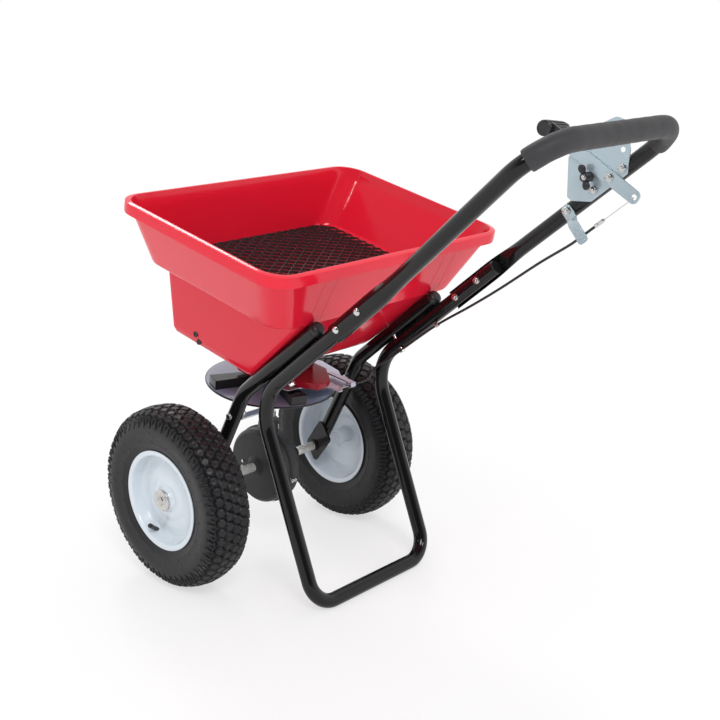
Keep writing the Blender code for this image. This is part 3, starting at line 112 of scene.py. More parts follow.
def tube_grid(path, radius, side, count):
    """Ring at each path point: centre + r (cos s times one cross direction + sin s times the other)."""
    path = np.asarray(path, float)
    first, second = carried(path, side)
    s = np.linspace(0, 2 * np.pi, count, endpoint=False)
    r = np.broadcast_to(radius, len(path))[:, None, None]
    return path[:, None] + r * (np.cos(s)[None, :, None] * first[:, None]
                                + np.sin(s)[None, :, None] * second[:, None])


def skin(grid, ring=False):
    """Points and faces of a grid whose columns close round it; its rows also close on themselves (ring),
    or each end row is shut with a fan about its own middle."""
    rows, columns = grid.shape[:2]
    index = np.arange(rows * columns).reshape(rows, columns)
    low = index if ring else index[:-1]
    high = np.roll(index, -1, axis=0) if ring else index[1:]
    quads = np.stack([low, np.roll(low, -1, 1), np.roll(high, -1, 1), high], -1).reshape(-1, 4)
    points = grid.reshape(-1, 3)
    faces = quads.tolist()
    if not ring:
        hub = rows * columns
        points = np.vstack([points, grid[0].mean(0), grid[-1].mean(0)])
        foot, head = index[0], index[-1]
        faces += np.stack([np.full(columns, hub), np.roll(foot, -1), foot], -1).tolist()
        faces += np.stack([np.full(columns, hub + 1), head, np.roll(head, -1)], -1).tolist()
    return points, faces


def outward(points, faces):
    """The faces turned round if their signed volume, a sum of triple products, is negative."""
    volume = 0.0
    for size in {len(f) for f in faces}:
        some = np.array([f for f in faces if len(f) == size], int)
        for k in range(1, size - 1):
            a, b, c = points[some[:, 0]], points[some[:, k]], points[some[:, k + 1]]
            volume += np.einsum("ij,ij->i", a, np.cross(b, c)).sum()
    return [f[::-1] for f in faces] if volume < 0 else faces


def piece(name, skins, material, body, nodes=(), place=machine, crease=35.0):
    """One mesh object made of closed skins, put on its body in place of the CAD nodes named."""
    points, faces, count = [], [], 0
    for some_points, some_faces in skins:
        placed = place(some_points)
        faces += [[i + count for i in f] for f in outward(placed, some_faces)]
        points.append(placed)
        count += len(placed)
    mesh = bpy.data.meshes.new(name)
    mesh.from_pydata(np.concatenate(points).tolist(), [], faces)
    mesh.materials.append(material)
    mesh.shade_smooth()
    mesh.set_sharp_from_angle(angle=math.radians(crease))
    made = bpy.data.objects.new(name, mesh)
    bpy.context.scene.collection.objects.link(made)
    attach(made, body)
    if nodes:
        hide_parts(*nodes)
    return made


def wired(tree, kind, sockets, **settings):
    """A shader node of this kind with its settings made and each input named given a value or a link."""
    made = tree.nodes.new("ShaderNode" + kind)
    for name, value in settings.items():
        setattr(made, name, value)
    for name, value in sockets.items():
        if isinstance(value, bpy.types.NodeSocket):
            tree.links.new(value, made.inputs[name])
        else:
            made.inputs[name].default_value = value
    return made


def finish(name, colour, tint, roughness, spread=0.06, patch=9.0, grain=420.0, relief=0.00003,
           metallic=0.0, coat=0.0, coat_roughness=0.06, specular=0.5):
    """Surface finish: two colours mixed by a broad noise, roughness moved by a middling one, and a fine
    grain as a bump of the given height in metres; patch and grain are cells to the metre."""
    made = bpy.data.materials.new(name)
    made.use_nodes = True
    tree = made.node_tree
    shader = tree.nodes["Principled BSDF"]
    for socket, value in (("Metallic", metallic), ("Coat Weight", coat), ("Coat Roughness", coat_roughness),
                          ("Specular IOR Level", specular)):
        shader.inputs[socket].default_value = value
    where = wired(tree, "TexCoord", {}).outputs["Object"]

    def noise(scale, detail):
        """A noise on object coordinates."""
        return wired(tree, "TexNoise", {"Scale": scale, "Detail": detail, "Vector": where}).outputs["Fac"]

    mix = wired(tree, "Mix", {"A": (*colour, 1.0), "B": (*tint, 1.0), "Factor": noise(patch, 3.0)},
                data_type="RGBA")
    level = wired(tree, "MapRange", {"To Min": roughness - spread, "To Max": roughness + spread,
                                     "Value": noise(patch * 5, 4.0)})
    bump = wired(tree, "Bump", {"Strength": 1.0, "Distance": relief, "Height": noise(grain, 2.0)})
    tree.links.new(mix.outputs["Result"], shader.inputs["Base Color"])
    tree.links.new(level.outputs["Result"], shader.inputs["Roughness"])
    tree.links.new(bump.outputs["Normal"], shader.inputs["Normal"])
    return made


black_paint = finish("black_gloss_paint", (0.0035, 0.0035, 0.0038), (0.0065, 0.0065, 0.0070), 0.13, 0.05,
                     grain=260.0, relief=0.00004, coat=0.15, specular=0.30)
X, Y, Z = np.eye(3)
LIP = 0.0005


def tube_skin(path):
    """Open steel tube: outer wall, both ends turned in by LIP, and the bore back to the start."""
    first = path[0] + unit(path[1] - path[0]) * (LIP + 0.0001)
    last = path[-1] + unit(path[-2] - path[-1]) * (LIP + 0.0001)
    outside = np.vstack([path[:1], first[None], path[1:-1], last[None], path[-1:]])
    radius = np.full(len(outside), TUBE_RADIUS)
    radius[[0, -1]] -= LIP
    outer = tube_grid(outside, radius, X, 40)
    inner = tube_grid(path, TUBE_BORE, X, 40)
    return skin(np.concatenate([outer, inner[::-1]]), ring=True)


stand_path = rounded_path([rail(STAND_TOP, -RAIL_X), (-RAIL_X, *STAND_KNEE), (-RAIL_X, *FOOT),
                           (RAIL_X, *FOOT), (RAIL_X, *STAND_KNEE), rail(STAND_TOP)],
                          [0, 0.085, 0.045, 0.045, 0.085, 0], 20)
piece("stand_tube", [tube_skin(stand_path)], black_paint, "chassis", ["stand_frame"])

# Legs: two shorter tubes bolted on top of the stand's rails and bent down to the axle. Each
# has a small four sided axle plate, cut from 4 mm sheet, welded to its inner side.

LEG_TOP = -0.0270
LEG_DOWN = np.array([0.284, -0.959])
PITCH = 0.0257
AXLE_PLATE = [(-0.006, 0.062), (-0.040, 0.030), (-0.010, -0.034), (0.020, 0.000)]
SIDES = (("left", -1), ("right", 1))
RUN_OUT = 0.0006
NUT_HEIGHT = 0.0038
SHANK = 0.0058
THREAD_DEPTH, THREAD_PITCH = 0.0002, 0.0010


def inset(outline, width):
    """Closed outline moved inward along the mean of the two side normals at each point."""
    ahead = np.roll(outline, -1, axis=0) - outline
    normal = np.stack([-ahead[:, 1], ahead[:, 0]], -1) / np.linalg.norm(ahead, axis=1)[:, None]
    mean = normal + np.roll(normal, 1, axis=0)
    mean /= np.maximum(np.linalg.norm(mean, axis=1), 1e-9)[:, None]
    area = (outline[:, 0] * np.roll(outline[:, 1], -1) - outline[:, 1] * np.roll(outline[:, 0], -1)).sum()
    return outline + math.copysign(width, area) * mean


def slab(outline, low, high, edge, at=lambda a, b, c: (a, b, c)):
    """Flat plate: its outline at two heights with every edge broken by edge metres; at maps to 3-D."""
    outline = np.asarray(outline, float)
    small = inset(outline, edge)
    span = high - low
    rows = [(small, low), (outline, low + math.copysign(edge, span)),
            (outline, high - math.copysign(edge, span)), (small, high)]
    grid = np.stack([np.stack(np.broadcast_arrays(*at(o[:, 0], o[:, 1], level)), -1) for o, level in rows])
    points, faces = skin(grid)
    count = len(outline)
    faces = faces[:3 * count] + [list(range(count))[::-1], list(range(3 * count, 4 * count))]
    return points[:4 * count], faces


def across(axis):
    """Two directions square to an axis and to each other, the first by a cross product with a slant one."""
    first = unit(np.cross(axis, [0.21, 0.37, 0.9]))
    return first, np.cross(axis, first)


def stud(start, axis, stations, count=48):
    """Turned part from rows of (distance, width, corner). Corner 0 is a round of that diameter. Above 0
    it is a hexagon that wide across its flats, half the width over the cosine of the angle from the
    nearest flat, with its corners cut round at corner times half the width."""
    axis = unit(axis)
    first, second = across(axis)
    s = np.linspace(0, 2 * np.pi, count, endpoint=False)
    sector = 2 * np.pi / 6
    hexagon = 1.0 / np.cos((s % sector) - sector / 2)
    rows = []
    for along, width, corner in stations:
        radius = width / 2 * (np.minimum(hexagon, corner) if corner > 0 else np.ones_like(s))
        rows.append(np.asarray(start, float) + axis * along
                    + radius[:, None] * (np.cos(s)[:, None] * first + np.sin(s)[:, None] * second))
    return skin(np.array(rows))


def thread(start, axis, length, diameter):
    """Threaded rod: radius falls and rises as the cosine of the turn plus distance over pitch, and the last
    RUN_OUT at both ends tapers."""
    axis = unit(axis)
    first, second = across(axis)
    s = np.linspace(0, 2 * np.pi, 24, endpoint=False)[None, :]
    z = np.linspace(0, length, max(6, int(length / THREAD_PITCH * 6)))[:, None]
    fade = np.clip((length - z) / RUN_OUT, 0, 1) * np.clip(z / RUN_OUT, 0, 1)
    wave = THREAD_DEPTH * np.cos(2 * np.pi * z / THREAD_PITCH - s)
    radius = diameter / 2 - 0.00022 + wave - 0.0005 * (1 - fade)
    grid = (np.asarray(start, float) + axis * z[..., None]
            + radius[..., None] * (np.cos(s)[..., None] * first + np.sin(s)[..., None] * second))
    return skin(grid)


def nut(start, axis, height, width):
    """Hexagon with its corners turned off at its outer face, on a thin round washer."""
    return [stud(start, axis, [(0, width * 0.6, 0), (0, width * 0.95, 0), (0.0005, width, 1.10),
                               (height * 0.75, width, 1.16), (height - 0.0006, width, 1.12),
                               (height - 0.0006, width * 1.22, 0), (height, width * 1.22, 0),
                               (height, width * 0.6, 0)])]


def bolt(start, axis, head, grip, tail, width=0.0102, dome=False):
    """Hexagon or domed head of the given height, shank to grip, nut on the far side and threaded tail."""
    start = np.asarray(start, float)
    axis = unit(axis)
    shapes = [stud(start, axis, [(0.0004, SHANK, 0), (grip, SHANK, 0)], count=20)]
    if dome:
        shapes.append(stud(start, axis,
                           [(0, 0.002, 0), (0.0003, 0.0056, 0), (0.0010, 0.0094, 0), (0.0019, 0.0118, 0),
                            (head - 0.0003, 0.0124, 0), (head, 0.0120, 0)], count=32))
    else:
        shapes.append(stud(start, axis,
                           [(0, width * 0.66, 0), (0.0001, width * 0.93, 0), (0.0006, width, 1.10),
                            (head - 0.0007, width, 1.16), (head - 0.0007, width * 1.2, 0),
                            (head, width * 1.2, 0)]))
    shapes += nut(start + axis * (grip + NUT_HEIGHT), -axis, NUT_HEIGHT, width)
    shapes.append(thread(start + axis * grip, axis, NUT_HEIGHT + tail, 0.006))
    return shapes


bright_zinc = finish("bright_zinc_steel", (0.60, 0.61, 0.60), (0.68, 0.69, 0.68), 0.20, 0.04, patch=60.0,
                     grain=900.0, relief=0.000003, metallic=1.0)
# The knee is where the leg's line meets the line one PITCH above the rail.
knee = np.linalg.solve(np.stack([RAIL_DOWN, -LEG_DOWN], 1), -(RAIL_START + PITCH * RAIL_UP))[1] * LEG_DOWN
for label, sign in SIDES:
    x = sign * RAIL_X
    leg_path = rounded_path([rail(LEG_TOP, x, PITCH), (x, *knee), (x, *(LEG_DOWN * -0.026))],
                            [0, 0.070, 0], 20)
    plate = slab(rounded_path(AXLE_PLATE, 0.007, 6, closed=True), sign * 0.1285, sign * 0.1325, 0.0006,
                 lambda a, b, c: (c, a, b))
    piece("leg_" + label, [tube_skin(leg_path), plate], black_paint, "chassis",
          ["leg_tube_" + label])
    stack = bolt(rail(0.0873, sign * 0.1375, -0.0182), (0, *RAIL_UP), 0.005, 0.0606, 0.0, 0.0096)
    piece("stack_bolt_set_" + label, stack, bright_zinc, "chassis", ["stack_bolt_" + label])

# Tube ends: moulded rubber plugs, a domed cap in each leg and a flat one in each end of the
# stand, pushed in until the flange meets the steel.

black_rubber = finish("black_rubber", (0.007, 0.007, 0.008), (0.014, 0.014, 0.015), 0.36, 0.08, patch=30.0,
                      grain=700.0, relief=0.00004)


def turned(profile, axis, centre, side, count):
    """Ring at each (distance, radius) of the profile about an axis through centre."""
    profile = np.asarray(profile, float)
    axis, side = unit(axis), np.asarray(side, float)
    first = unit(side - (side @ axis) * axis)
    second = np.cross(axis, first)
    s = np.linspace(0, 2 * np.pi, count, endpoint=False)
    around = np.cos(s)[:, None] * first + np.sin(s)[:, None] * second
    return np.asarray(centre, float) + profile[:, 0, None, None] * axis + profile[:, 1, None, None] * around


def respaced(path, step):
    """The same path with points no further apart than step, and how far along it each one is."""
    length = np.concatenate([[0.0], np.cumsum(np.linalg.norm(np.diff(path, axis=0), axis=1))])
    extra = np.arange(0.0, length[-1], step)
    where = np.unique(np.round(np.concatenate([length, extra]), 6))
    where = where[np.concatenate([[True], np.diff(where) > step * 0.2])]
    return np.stack([np.interp(where, length, path[:, k]) for k in range(path.shape[1])], -1), where


def lathed(profile, radii, steps, axis, centre, side, count, sign=1, closed=True, step=None):
    """Profile of (distance, radius) with its corners rounded, turned about an axis; sign -1 faces the other
    way. A closed profile is a hollow ring, and an open one has its two ends shut."""
    path = rounded_path(profile, radii, steps, closed)
    if step and closed:
        path = respaced(np.vstack([path, path[:1]]), step)[0][:-1]
    elif step:
        path = respaced(path, step)[0]
    return skin(turned(path * (sign, 1.0), axis, centre, side, count), ring=closed)


up_rail = np.array([0.0, *-RAIL_DOWN])
for label, sign in SIDES:
    dome = lathed([(-0.004, 0.0106), (0.0003, 0.0106), (0.0003, 0.0129), (0.0050, 0.0131),
                   (0.0122, 0.0105), (0.0122, 0.0006)], [0, 0, 0.0005, 0.003, 0.0062, 0], 6, up_rail,
                  rail(LEG_TOP, sign * RAIL_X, PITCH), X, 64, closed=False)
    piece("leg_end_cap_" + label, [dome], black_rubber, "chassis", ["leg_cap_" + label])
    flat = lathed([(-0.004, 0.0106), (0.0003, 0.0106), (0.0003, 0.0127), (0.0030, 0.0125), (0.0030, 0.0006)],
                  [0, 0, 0.0004, 0.0012, 0], 5, up_rail, rail(STAND_TOP, sign * RAIL_X), X, 64, closed=False)
    piece("stand_end_plug_" + label, [flat], black_rubber, "chassis",
          ["stand_plug_" + label])

# Handle: one long tube. Its two feet are crushed into saddles that wrap the outer side of the
# stand's rails and take two bolts each; above them the sides splay to a wide top bar.

KINK = rail(-0.205)
HANDLE_TOP = np.array([0.1796, -0.5609, 0.8060])
MIRROR = np.array([-1.0, 1.0, 1.0])
UPWARD = unit(HANDLE_TOP - KINK)
OUTBOARD = unit(X - UPWARD[0] * UPWARD)
REARWARD = np.cross(OUTBOARD, UPWARD)
FLAT_LENGTH, FLAT_EASE = 0.098, 0.080
FLAT_DEPTH = 0.0133


def smooth(t):
    """Rises from 0 to 1 as 3 t squared minus 2 t cubed, held flat outside."""
    t = np.clip(t, 0.0, 1.0)
    return t * t * (3.0 - 2.0 * t)


foot = rail(-0.066)
handle_corners = [foot, KINK, HANDLE_TOP, HANDLE_TOP * MIRROR, KINK * MIRROR, foot * MIRROR]
handle_path, along = respaced(rounded_path(handle_corners, [0, 0.09, 0.066, 0.066, 0.09, 0], 20), 0.006)
out, other = carried(handle_path, X)
near_end = np.minimum(along, along[-1] - along)
crush = (1.0 - smooth((near_end - FLAT_LENGTH) / FLAT_EASE))[:, None]
half = np.linspace(-np.pi / 2, np.pi / 2, 23)
back = half[::-1][1:-1]
radius = TUBE_RADIUS + crush * 0.0037
reach = np.hstack([radius * np.cos(half), (FLAT_DEPTH * crush - radius * (1 - crush)) * np.cos(back)])
rise = np.hstack([radius * np.sin(half), (FLAT_DEPTH * crush + radius * (1 - crush)) * np.sin(back)])
handle_grid = handle_path[:, None] + reach[..., None] * out[:, None] + rise[..., None] * other[:, None]
piece("handle", [skin(handle_grid)], black_paint, "chassis", ["handle_tube"], crease=40.0)
for label, sign in SIDES:
    for level, t in (("upper", -0.1401), ("lower", -0.0833)):
        saddle = bolt(rail(t, sign * (RAIL_X + 0.0202)), (-sign, 0, 0), 0.0035, 0.0332, 0.0025, dome=True)
        piece("saddle_bolt_%s_%s" % (level, label), saddle, bright_zinc, "chassis",
              ["handle_bolt_%s_%s" % (level, label)])

# Foam grip: a closed-cell foam sleeve, 33 mm across, pushed over the top bar and part way
# round its two bends; its cut ends stand a little proud of the tube.

foam = finish("foam_sleeve", (0.034, 0.033, 0.036), (0.050, 0.048, 0.052), 0.55, 0.08, patch=18.0,
              grain=850.0, relief=0.00022, specular=0.36)
SLEEVE_RADIUS, SLEEVE_BORE = 0.0165, 0.0131
below_bend = KINK + UPWARD * 0.045
bar = rounded_path([below_bend, HANDLE_TOP, HANDLE_TOP * MIRROR, below_bend * MIRROR],
                   [0, 0.066, 0.066, 0], 30)
# After the first point each bend has 31: the sleeve starts 6 into one and ends 22 into the other.
bar = bar[1 + 6:1 + 31 + 22]
bar, along = respaced(bar, 0.004)
end = np.minimum(along, along[-1] - along)
rounding = 0.0008 * (1 - smooth(end / 0.0016))
ripple = 0.00012 * np.sin(along * 210.0) * smooth(end / 0.02)
sleeve = SLEEVE_RADIUS - rounding + ripple
outer = tube_grid(bar, sleeve, OUTBOARD, 56)
inner = tube_grid(bar, SLEEVE_BORE, OUTBOARD, 56)
grip_sleeve = piece("foam_sleeve", [skin(np.concatenate([outer, inner[::-1]]), ring=True)], foam, "chassis",
                    ["foam_grip"])

# Cross brace: a bright zinc strap between the legs with turned-up ends, and an arm forward
# under the impeller that steadies its shaft.

zinc = finish("zinc_sheet", (0.50, 0.545, 0.60), (0.62, 0.65, 0.69), 0.34, 0.08, patch=35.0, grain=900.0,
              relief=0.00002, metallic=0.85)
EDGE_ANGLE = math.radians(32.0)


def refined(name, node, material, body, edge=0.0003):
    """A CAD node's own shape with its triangles merged, its flat faces joined and its edges broken."""
    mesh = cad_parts[node].data.copy()
    mesh.name = name
    cage = bmesh.new()
    cage.from_mesh(mesh)
    bmesh.ops.remove_doubles(cage, verts=cage.verts, dist=1e-5)
    bmesh.ops.dissolve_limit(cage, angle_limit=math.radians(1.0), verts=cage.verts, edges=cage.edges)
    cage.to_mesh(mesh)
    cage.free()
    mesh.materials.clear()
    mesh.materials.append(material)
    made = bpy.data.objects.new(name, mesh)
    bpy.context.scene.collection.objects.link(made)
    mesh.shade_smooth()
    mesh.set_sharp_from_angle(angle=EDGE_ANGLE)
    bevel = made.modifiers.new("broken_edges", "BEVEL")
    bevel.width = edge
    bevel.segments = 2
    bevel.limit_method = "ANGLE"
    bevel.angle_limit = EDGE_ANGLE
    bevel.harden_normals = True
    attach(made, body)
    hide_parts(node)
    return made


refined("brace_strap", "cross_brace", zinc, "chassis")
for label, sign in SIDES:
    leg_bolt = bolt((sign * 0.1605, -0.04946, 0.1670), (-sign, 0, 0), 0.0035, 0.0331, 0.002)
    piece("leg_bolt_" + label, leg_bolt, bright_zinc, "chassis", ["brace_bolt_" + label])

# Hopper: one injection moulded shell in glossy red polypropylene, 3 mm thick. A wide bowl steps
# in to a narrower box whose back lies on the rails, and its sloping floor drains to the neck.

WALL = 0.003
SHAFT_TILT = math.radians(-5.0)
SLOPE_START = RAIL_START + (PITCH + TUBE_RADIUS + 0.0003) * RAIL_UP
BOWL_STRAIGHT = 0.179
CREASES = (-0.154, -0.128, 0.135, 0.162)
CREASE_DEPTH = 0.0010


def rake_y(z, off=0.0):
    """Where the box's sloping back stands at height z, off metres inside its outer face."""
    base_y = SLOPE_START[0] + off * RAIL_UP[0]
    base_z = SLOPE_START[1] + off * RAIL_UP[1]
    return base_y + RAIL_DOWN[0] * (z - base_z) / RAIL_DOWN[1]


def shaft_frame(points):
    """Shaft to machine coordinates: a turn by SHAFT_TILT about the X axis."""
    p = np.asarray(points, float)
    c, s = math.cos(SHAFT_TILT), math.sin(SHAFT_TILT)
    return np.stack([p[..., 0], c * p[..., 1] - s * p[..., 2], s * p[..., 1] + c * p[..., 2]], -1)


def on_shaft(points):
    """Shaft coordinates straight to the floor's."""
    return machine(shaft_frame(points))


def rounded_box_rings(rows, straights, arc=12):
    """For each row (half width, front, rear, corner, height, tilt) the four corners' arcs, centre + corner
    (cos s, sin s), with each straight side's points between them; tilt turns the ring about X."""
    half, front, rear, corner, height, tilt = (rows[:, k, None] for k in range(6))
    s = np.linspace(0, np.pi / 2, arc)[None, :]
    inner = half - corner
    near, far = front - corner, rear + corner
    ahead, beside, behind = straights
    flats = [(-ahead * inner, front), (-half, near * (1 - beside) / 2 + far * (1 + beside) / 2),
             (behind * np.minimum(1.0, inner / BOWL_STRAIGHT), rear),
             (half, far * (1 - beside) / 2 + near * (1 + beside) / 2)]
    sides = []
    for quarter, (turn_x, turn_y) in enumerate(((inner, near), (-inner, near), (-inner, far), (inner, far))):
        a = s + quarter * np.pi / 2
        sides.append((turn_x + corner * np.cos(a), turn_y + corner * np.sin(a)))
        sides.append(np.broadcast_arrays(*flats[quarter]))
    x = np.hstack([side[0] for side in sides])
    y = np.hstack([side[1] for side in sides])
    angle = SHAFT_TILT * tilt
    z = height + 0 * x
    return np.stack([x, np.cos(angle) * y - np.sin(angle) * z, np.sin(angle) * y + np.cos(angle) * z], -1)


floor_low, floor_high = 0.2071, 0.2101
shell = [((0.013, -0.024, -0.056, 0.002, floor_low, 1), 0),
         ((0.045, 0.034, -0.062, 0.010, floor_low, 1), 0.0015),
         ((0.045, 0.052, -0.048, 0.010, 0.2400, 0), 0.006),
         ((0.148, 0.133, rake_y(0.255), 0.010, 0.255, 0), 0.0045),
         ((0.172, 0.1415, rake_y(0.3965), 0.010, 0.3965, 0), 0.0025),
         ((0.2190, 0.1420, -0.1925, 0.040, 0.3985, 0), 0.008),
         ((0.2660, 0.1490, -0.2220, 0.040, 0.4915, 0), 0.0012),
         ((0.2780, 0.1600, -0.2340, 0.046, 0.4915, 0), 0.0016),
         ((0.2768, 0.1588, -0.2328, 0.0450, 0.511, 0), 0.0024),
         ((0.2680, 0.1500, -0.2240, 0.0405, 0.511, 0), 0.0013),
         ((0.2630, 0.1460, -0.2190, 0.037, 0.4915, 0), 0.004),
         ((0.2160, 0.1390, -0.1890, 0.037, 0.4015, 0), 0.004),
         ((0.169, 0.1385, rake_y(0.3995, WALL), 0.008, 0.3995, 0), 0.0025),
         ((0.145, 0.130, rake_y(0.2575, WALL), 0.008, 0.2575, 0), 0.004),
         ((0.042, 0.049, -0.045, 0.008, 0.243, 0), 0.004),
         ((0.042, 0.031, -0.059, 0.008, floor_high, 1), 0.001),
         ((0.013, -0.024, -0.056, 0.002, floor_high, 1), 0)]
shell_rows, _ = respaced(rounded_path([row for row, _ in shell], [radius for _, radius in shell], 7), 0.0065)
even = np.linspace(-1, 1, 34)[1:-1]
creased = np.unique(np.concatenate([np.linspace(-0.170, 0.170, 35)]
                                   + [[c - 0.0009, c - 0.0004, c, c + 0.0004, c + 0.0009] for c in CREASES]))
creased = creased[np.concatenate([[True], np.diff(creased) > 0.0003])]
shell_grid = rounded_box_rings(shell_rows, [even, np.linspace(-1, 1, 30)[1:-1], creased])
# The bowl's rear wall has four shallow upright creases in its outer face.
outer_bowl = np.arange(len(shell_rows)) < np.argmax(shell_rows[:, 4])
row_level = shell_rows[:, 4]
in_reach = smooth((row_level - 0.4035) / 0.004) * smooth((0.4885 - row_level) / 0.004) * outer_bowl
on_crease = np.min(np.abs(shell_grid[..., 0][..., None] - np.array(CREASES)), -1) < 0.0002
on_crease &= shell_grid[..., 1] < -0.18
shell_grid[..., 1] += CREASE_DEPTH * in_reach[:, None] * on_crease


def moulded_red(name, colour, tint, roughness):
    """Moulded polypropylene: a broad colour drift, and two bumps, slow waves of sink and a fine skin."""
    made = finish(name, colour, tint, roughness, 0.05, patch=5.0, grain=900.0, relief=0.000012,
                  specular=0.38)
    tree = made.node_tree
    waves = wired(tree, "TexNoise", {"Scale": 14.0, "Detail": 1.0,
                                     "Vector": tree.nodes["Texture Coordinate"].outputs["Object"]})
    sink = wired(tree, "Bump", {"Strength": 1.0, "Distance": 0.00030, "Height": waves.outputs["Fac"]})
    tree.links.new(sink.outputs["Normal"], tree.nodes["Bump"].inputs["Normal"])
    return made


red = moulded_red("red_polypropylene", (0.76, 0.012, 0.034), (0.81, 0.015, 0.042), 0.13)
piece("hopper_shell", [skin(shell_grid, ring=True)], red, "chassis", ["hopper"], crease=50.0)

# Vent plugs: two small vent holes are moulded near the foot of the box's left wall, and a short black
# rubber plug sits in each; the plug's black is painted shade that stands in for the dark inside the hole.

for label, y, z in (("upper", 0.064, 0.2745), ("lower", 0.056, 0.2625)):
    wall_x = -(0.148 + (0.172 - 0.148) * (z - 0.255) / (0.3965 - 0.255))
    plug = lathed([(-0.004, 0.0044), (0.0002, 0.0044), (0.0002, 0.0055), (0.0010, 0.0052),
                   (0.0010, 0.0040), (0.0005, 0.0037), (0.0005, 0.0002)], 0.0002, 3, (-0.985, 0, 0.170),
                  (wall_x - 0.0008, y, z), Z, 28, closed=False)
    piece("vent_hole_shade_plug_" + label, [plug], black_rubber, "chassis")

# Sieve: a sheet of expanded steel painted black brown, cut to the bowl and laid on its step;
# it stops lumps. Each strand runs in a zigzag and meets the next at every other bend.

MESH_LONG = 0.0290
MESH_SHORT = 0.0195
SCREEN_HALF, SCREEN_FRONT, SCREEN_REAR, SCREEN_CORNER = 0.2145, 0.1370, -0.1870, 0.0360
SCREEN_LEVEL = 0.4028
STRAND = np.array([(-0.0012, -0.0018), (0.0012, -0.0018), (0.0008, 0.0026), (-0.0008, 0.0026)])
STRAND_LEAN = 0.35
KNOT_HALF = 0.0016
HEM_WIDTH, HEM_HALF = 0.003, 0.0008
sieve_paint = finish("brown_black_paint", (0.018, 0.012, 0.014), (0.034, 0.022, 0.025), 0.28, 0.08,
                     patch=60.0, grain=900.0, relief=0.00006)
strands = []
zigzags = int((SCREEN_FRONT - SCREEN_REAR) / (MESH_SHORT / 2))
for k in range(zigzags + 1):
    y0 = SCREEN_REAR + (k + 0.5) * MESH_SHORT / 2
    if y0 > SCREEN_FRONT - 0.002:
        continue
    nearest = min(SCREEN_FRONT - y0, y0 - SCREEN_REAR)
    inset_x = 0.0
    if nearest < SCREEN_CORNER:
        inset_x = SCREEN_CORNER - math.sqrt(max(0.0, SCREEN_CORNER ** 2 - (SCREEN_CORNER - nearest) ** 2))
    limit = SCREEN_HALF - inset_x
    bends = np.arange(-math.ceil(limit / (MESH_LONG / 2)), math.ceil(limit / (MESH_LONG / 2)) + 1)
    x = np.stack([bends * MESH_LONG / 2 - KNOT_HALF, bends * MESH_LONG / 2 + KNOT_HALF], -1).ravel()
    side = np.repeat(np.where((bends + k) % 2 == 0, 1.0, -1.0), 2)
    y = y0 + side * (MESH_SHORT / 4 - 0.0005)
    reachable = np.abs(x) < limit
    ends = np.array([-limit, limit])
    y_ends = np.interp(ends, x, y)
    x = np.concatenate([ends[:1], x[reachable], ends[1:]])
    y = np.clip(np.concatenate([y_ends[:1], y[reachable], y_ends[1:]]), SCREEN_REAR, SCREEN_FRONT)
    path = np.stack([x, y, np.full_like(x, SCREEN_LEVEL)], -1)
    grid = path[:, None] + STRAND[None, :, :1] * Y + STRAND[None, :, 1:] * (Z + STRAND_LEAN * Y)
    strands.append(skin(grid))
hem_corners = ((0, -HEM_HALF), (0, HEM_HALF), (HEM_WIDTH, HEM_HALF), (HEM_WIDTH, -HEM_HALF))
hem_rows = np.array([(SCREEN_HALF - width, SCREEN_FRONT - width, SCREEN_REAR + width,
                      SCREEN_CORNER - width, SCREEN_LEVEL + rise, 0) for width, rise in hem_corners])
plain = np.linspace(-1, 1, 4)[1:-1]
strands.append(skin(rounded_box_rings(hem_rows, [plain, plain, plain * 0.16], 8), ring=True))
piece("sieve", strands, sieve_paint, "chassis", ["hopper_screen"], crease=30.0)

# Outlet: a darker red moulding clamped under the hopper's neck, and the gate below it, a sheet
# zinc slide on two pins. The port is open at rest, and the cable's wire pushes the gate to close it.

# The moulding's darker red is partly its own colour and partly painted shade from the box above it.
dark_red_and_painted_shade = moulded_red("dark_red_polypropylene_painted_shade", (0.27, 0.005, 0.016), (0.33, 0.007, 0.020), 0.20)
refined("outlet_moulding", "outlet_housing", dark_red_and_painted_shade, "chassis", 0.0008)
# A dark red collar round the neck, with no CAD part under it, is painted shade: it darkens the hopper's neck
# where the box shades it.
shade_collar_rows = np.array([(0.0440, 0.0330, -0.0610, 0.010, 0.2069, 1),
                        (0.0466, 0.0360, -0.0640, 0.011, 0.2069, 1),
                        (0.0466, 0.0540, -0.0500, 0.011, 0.2400, 0),
                        (0.0440, 0.0510, -0.0470, 0.010, 0.2400, 0)])
few = np.linspace(-1, 1, 8)[1:-1]
outlet_painted_shade_collar = rounded_box_rings(rounded_path(shade_collar_rows, 0.0007, 3, closed=True),
                                  [few, few, few * 0.17], 10)
piece("outlet_painted_shade_collar", [skin(outlet_painted_shade_collar, ring=True)], dark_red_and_painted_shade, "chassis")
lilac_zinc = finish("lilac_zinc_sheet", (0.46, 0.43, 0.56), (0.60, 0.60, 0.68), 0.30, 0.10, patch=22.0,
                    grain=900.0, relief=0.00002, metallic=0.8)
refined("gate_slide", "shutoff_gate", lilac_zinc, "gate")

# Gear case: two dark grey nylon halves screwed together round the gears; it hangs on the axle
# and its neck holds the foot of the impeller's shaft.

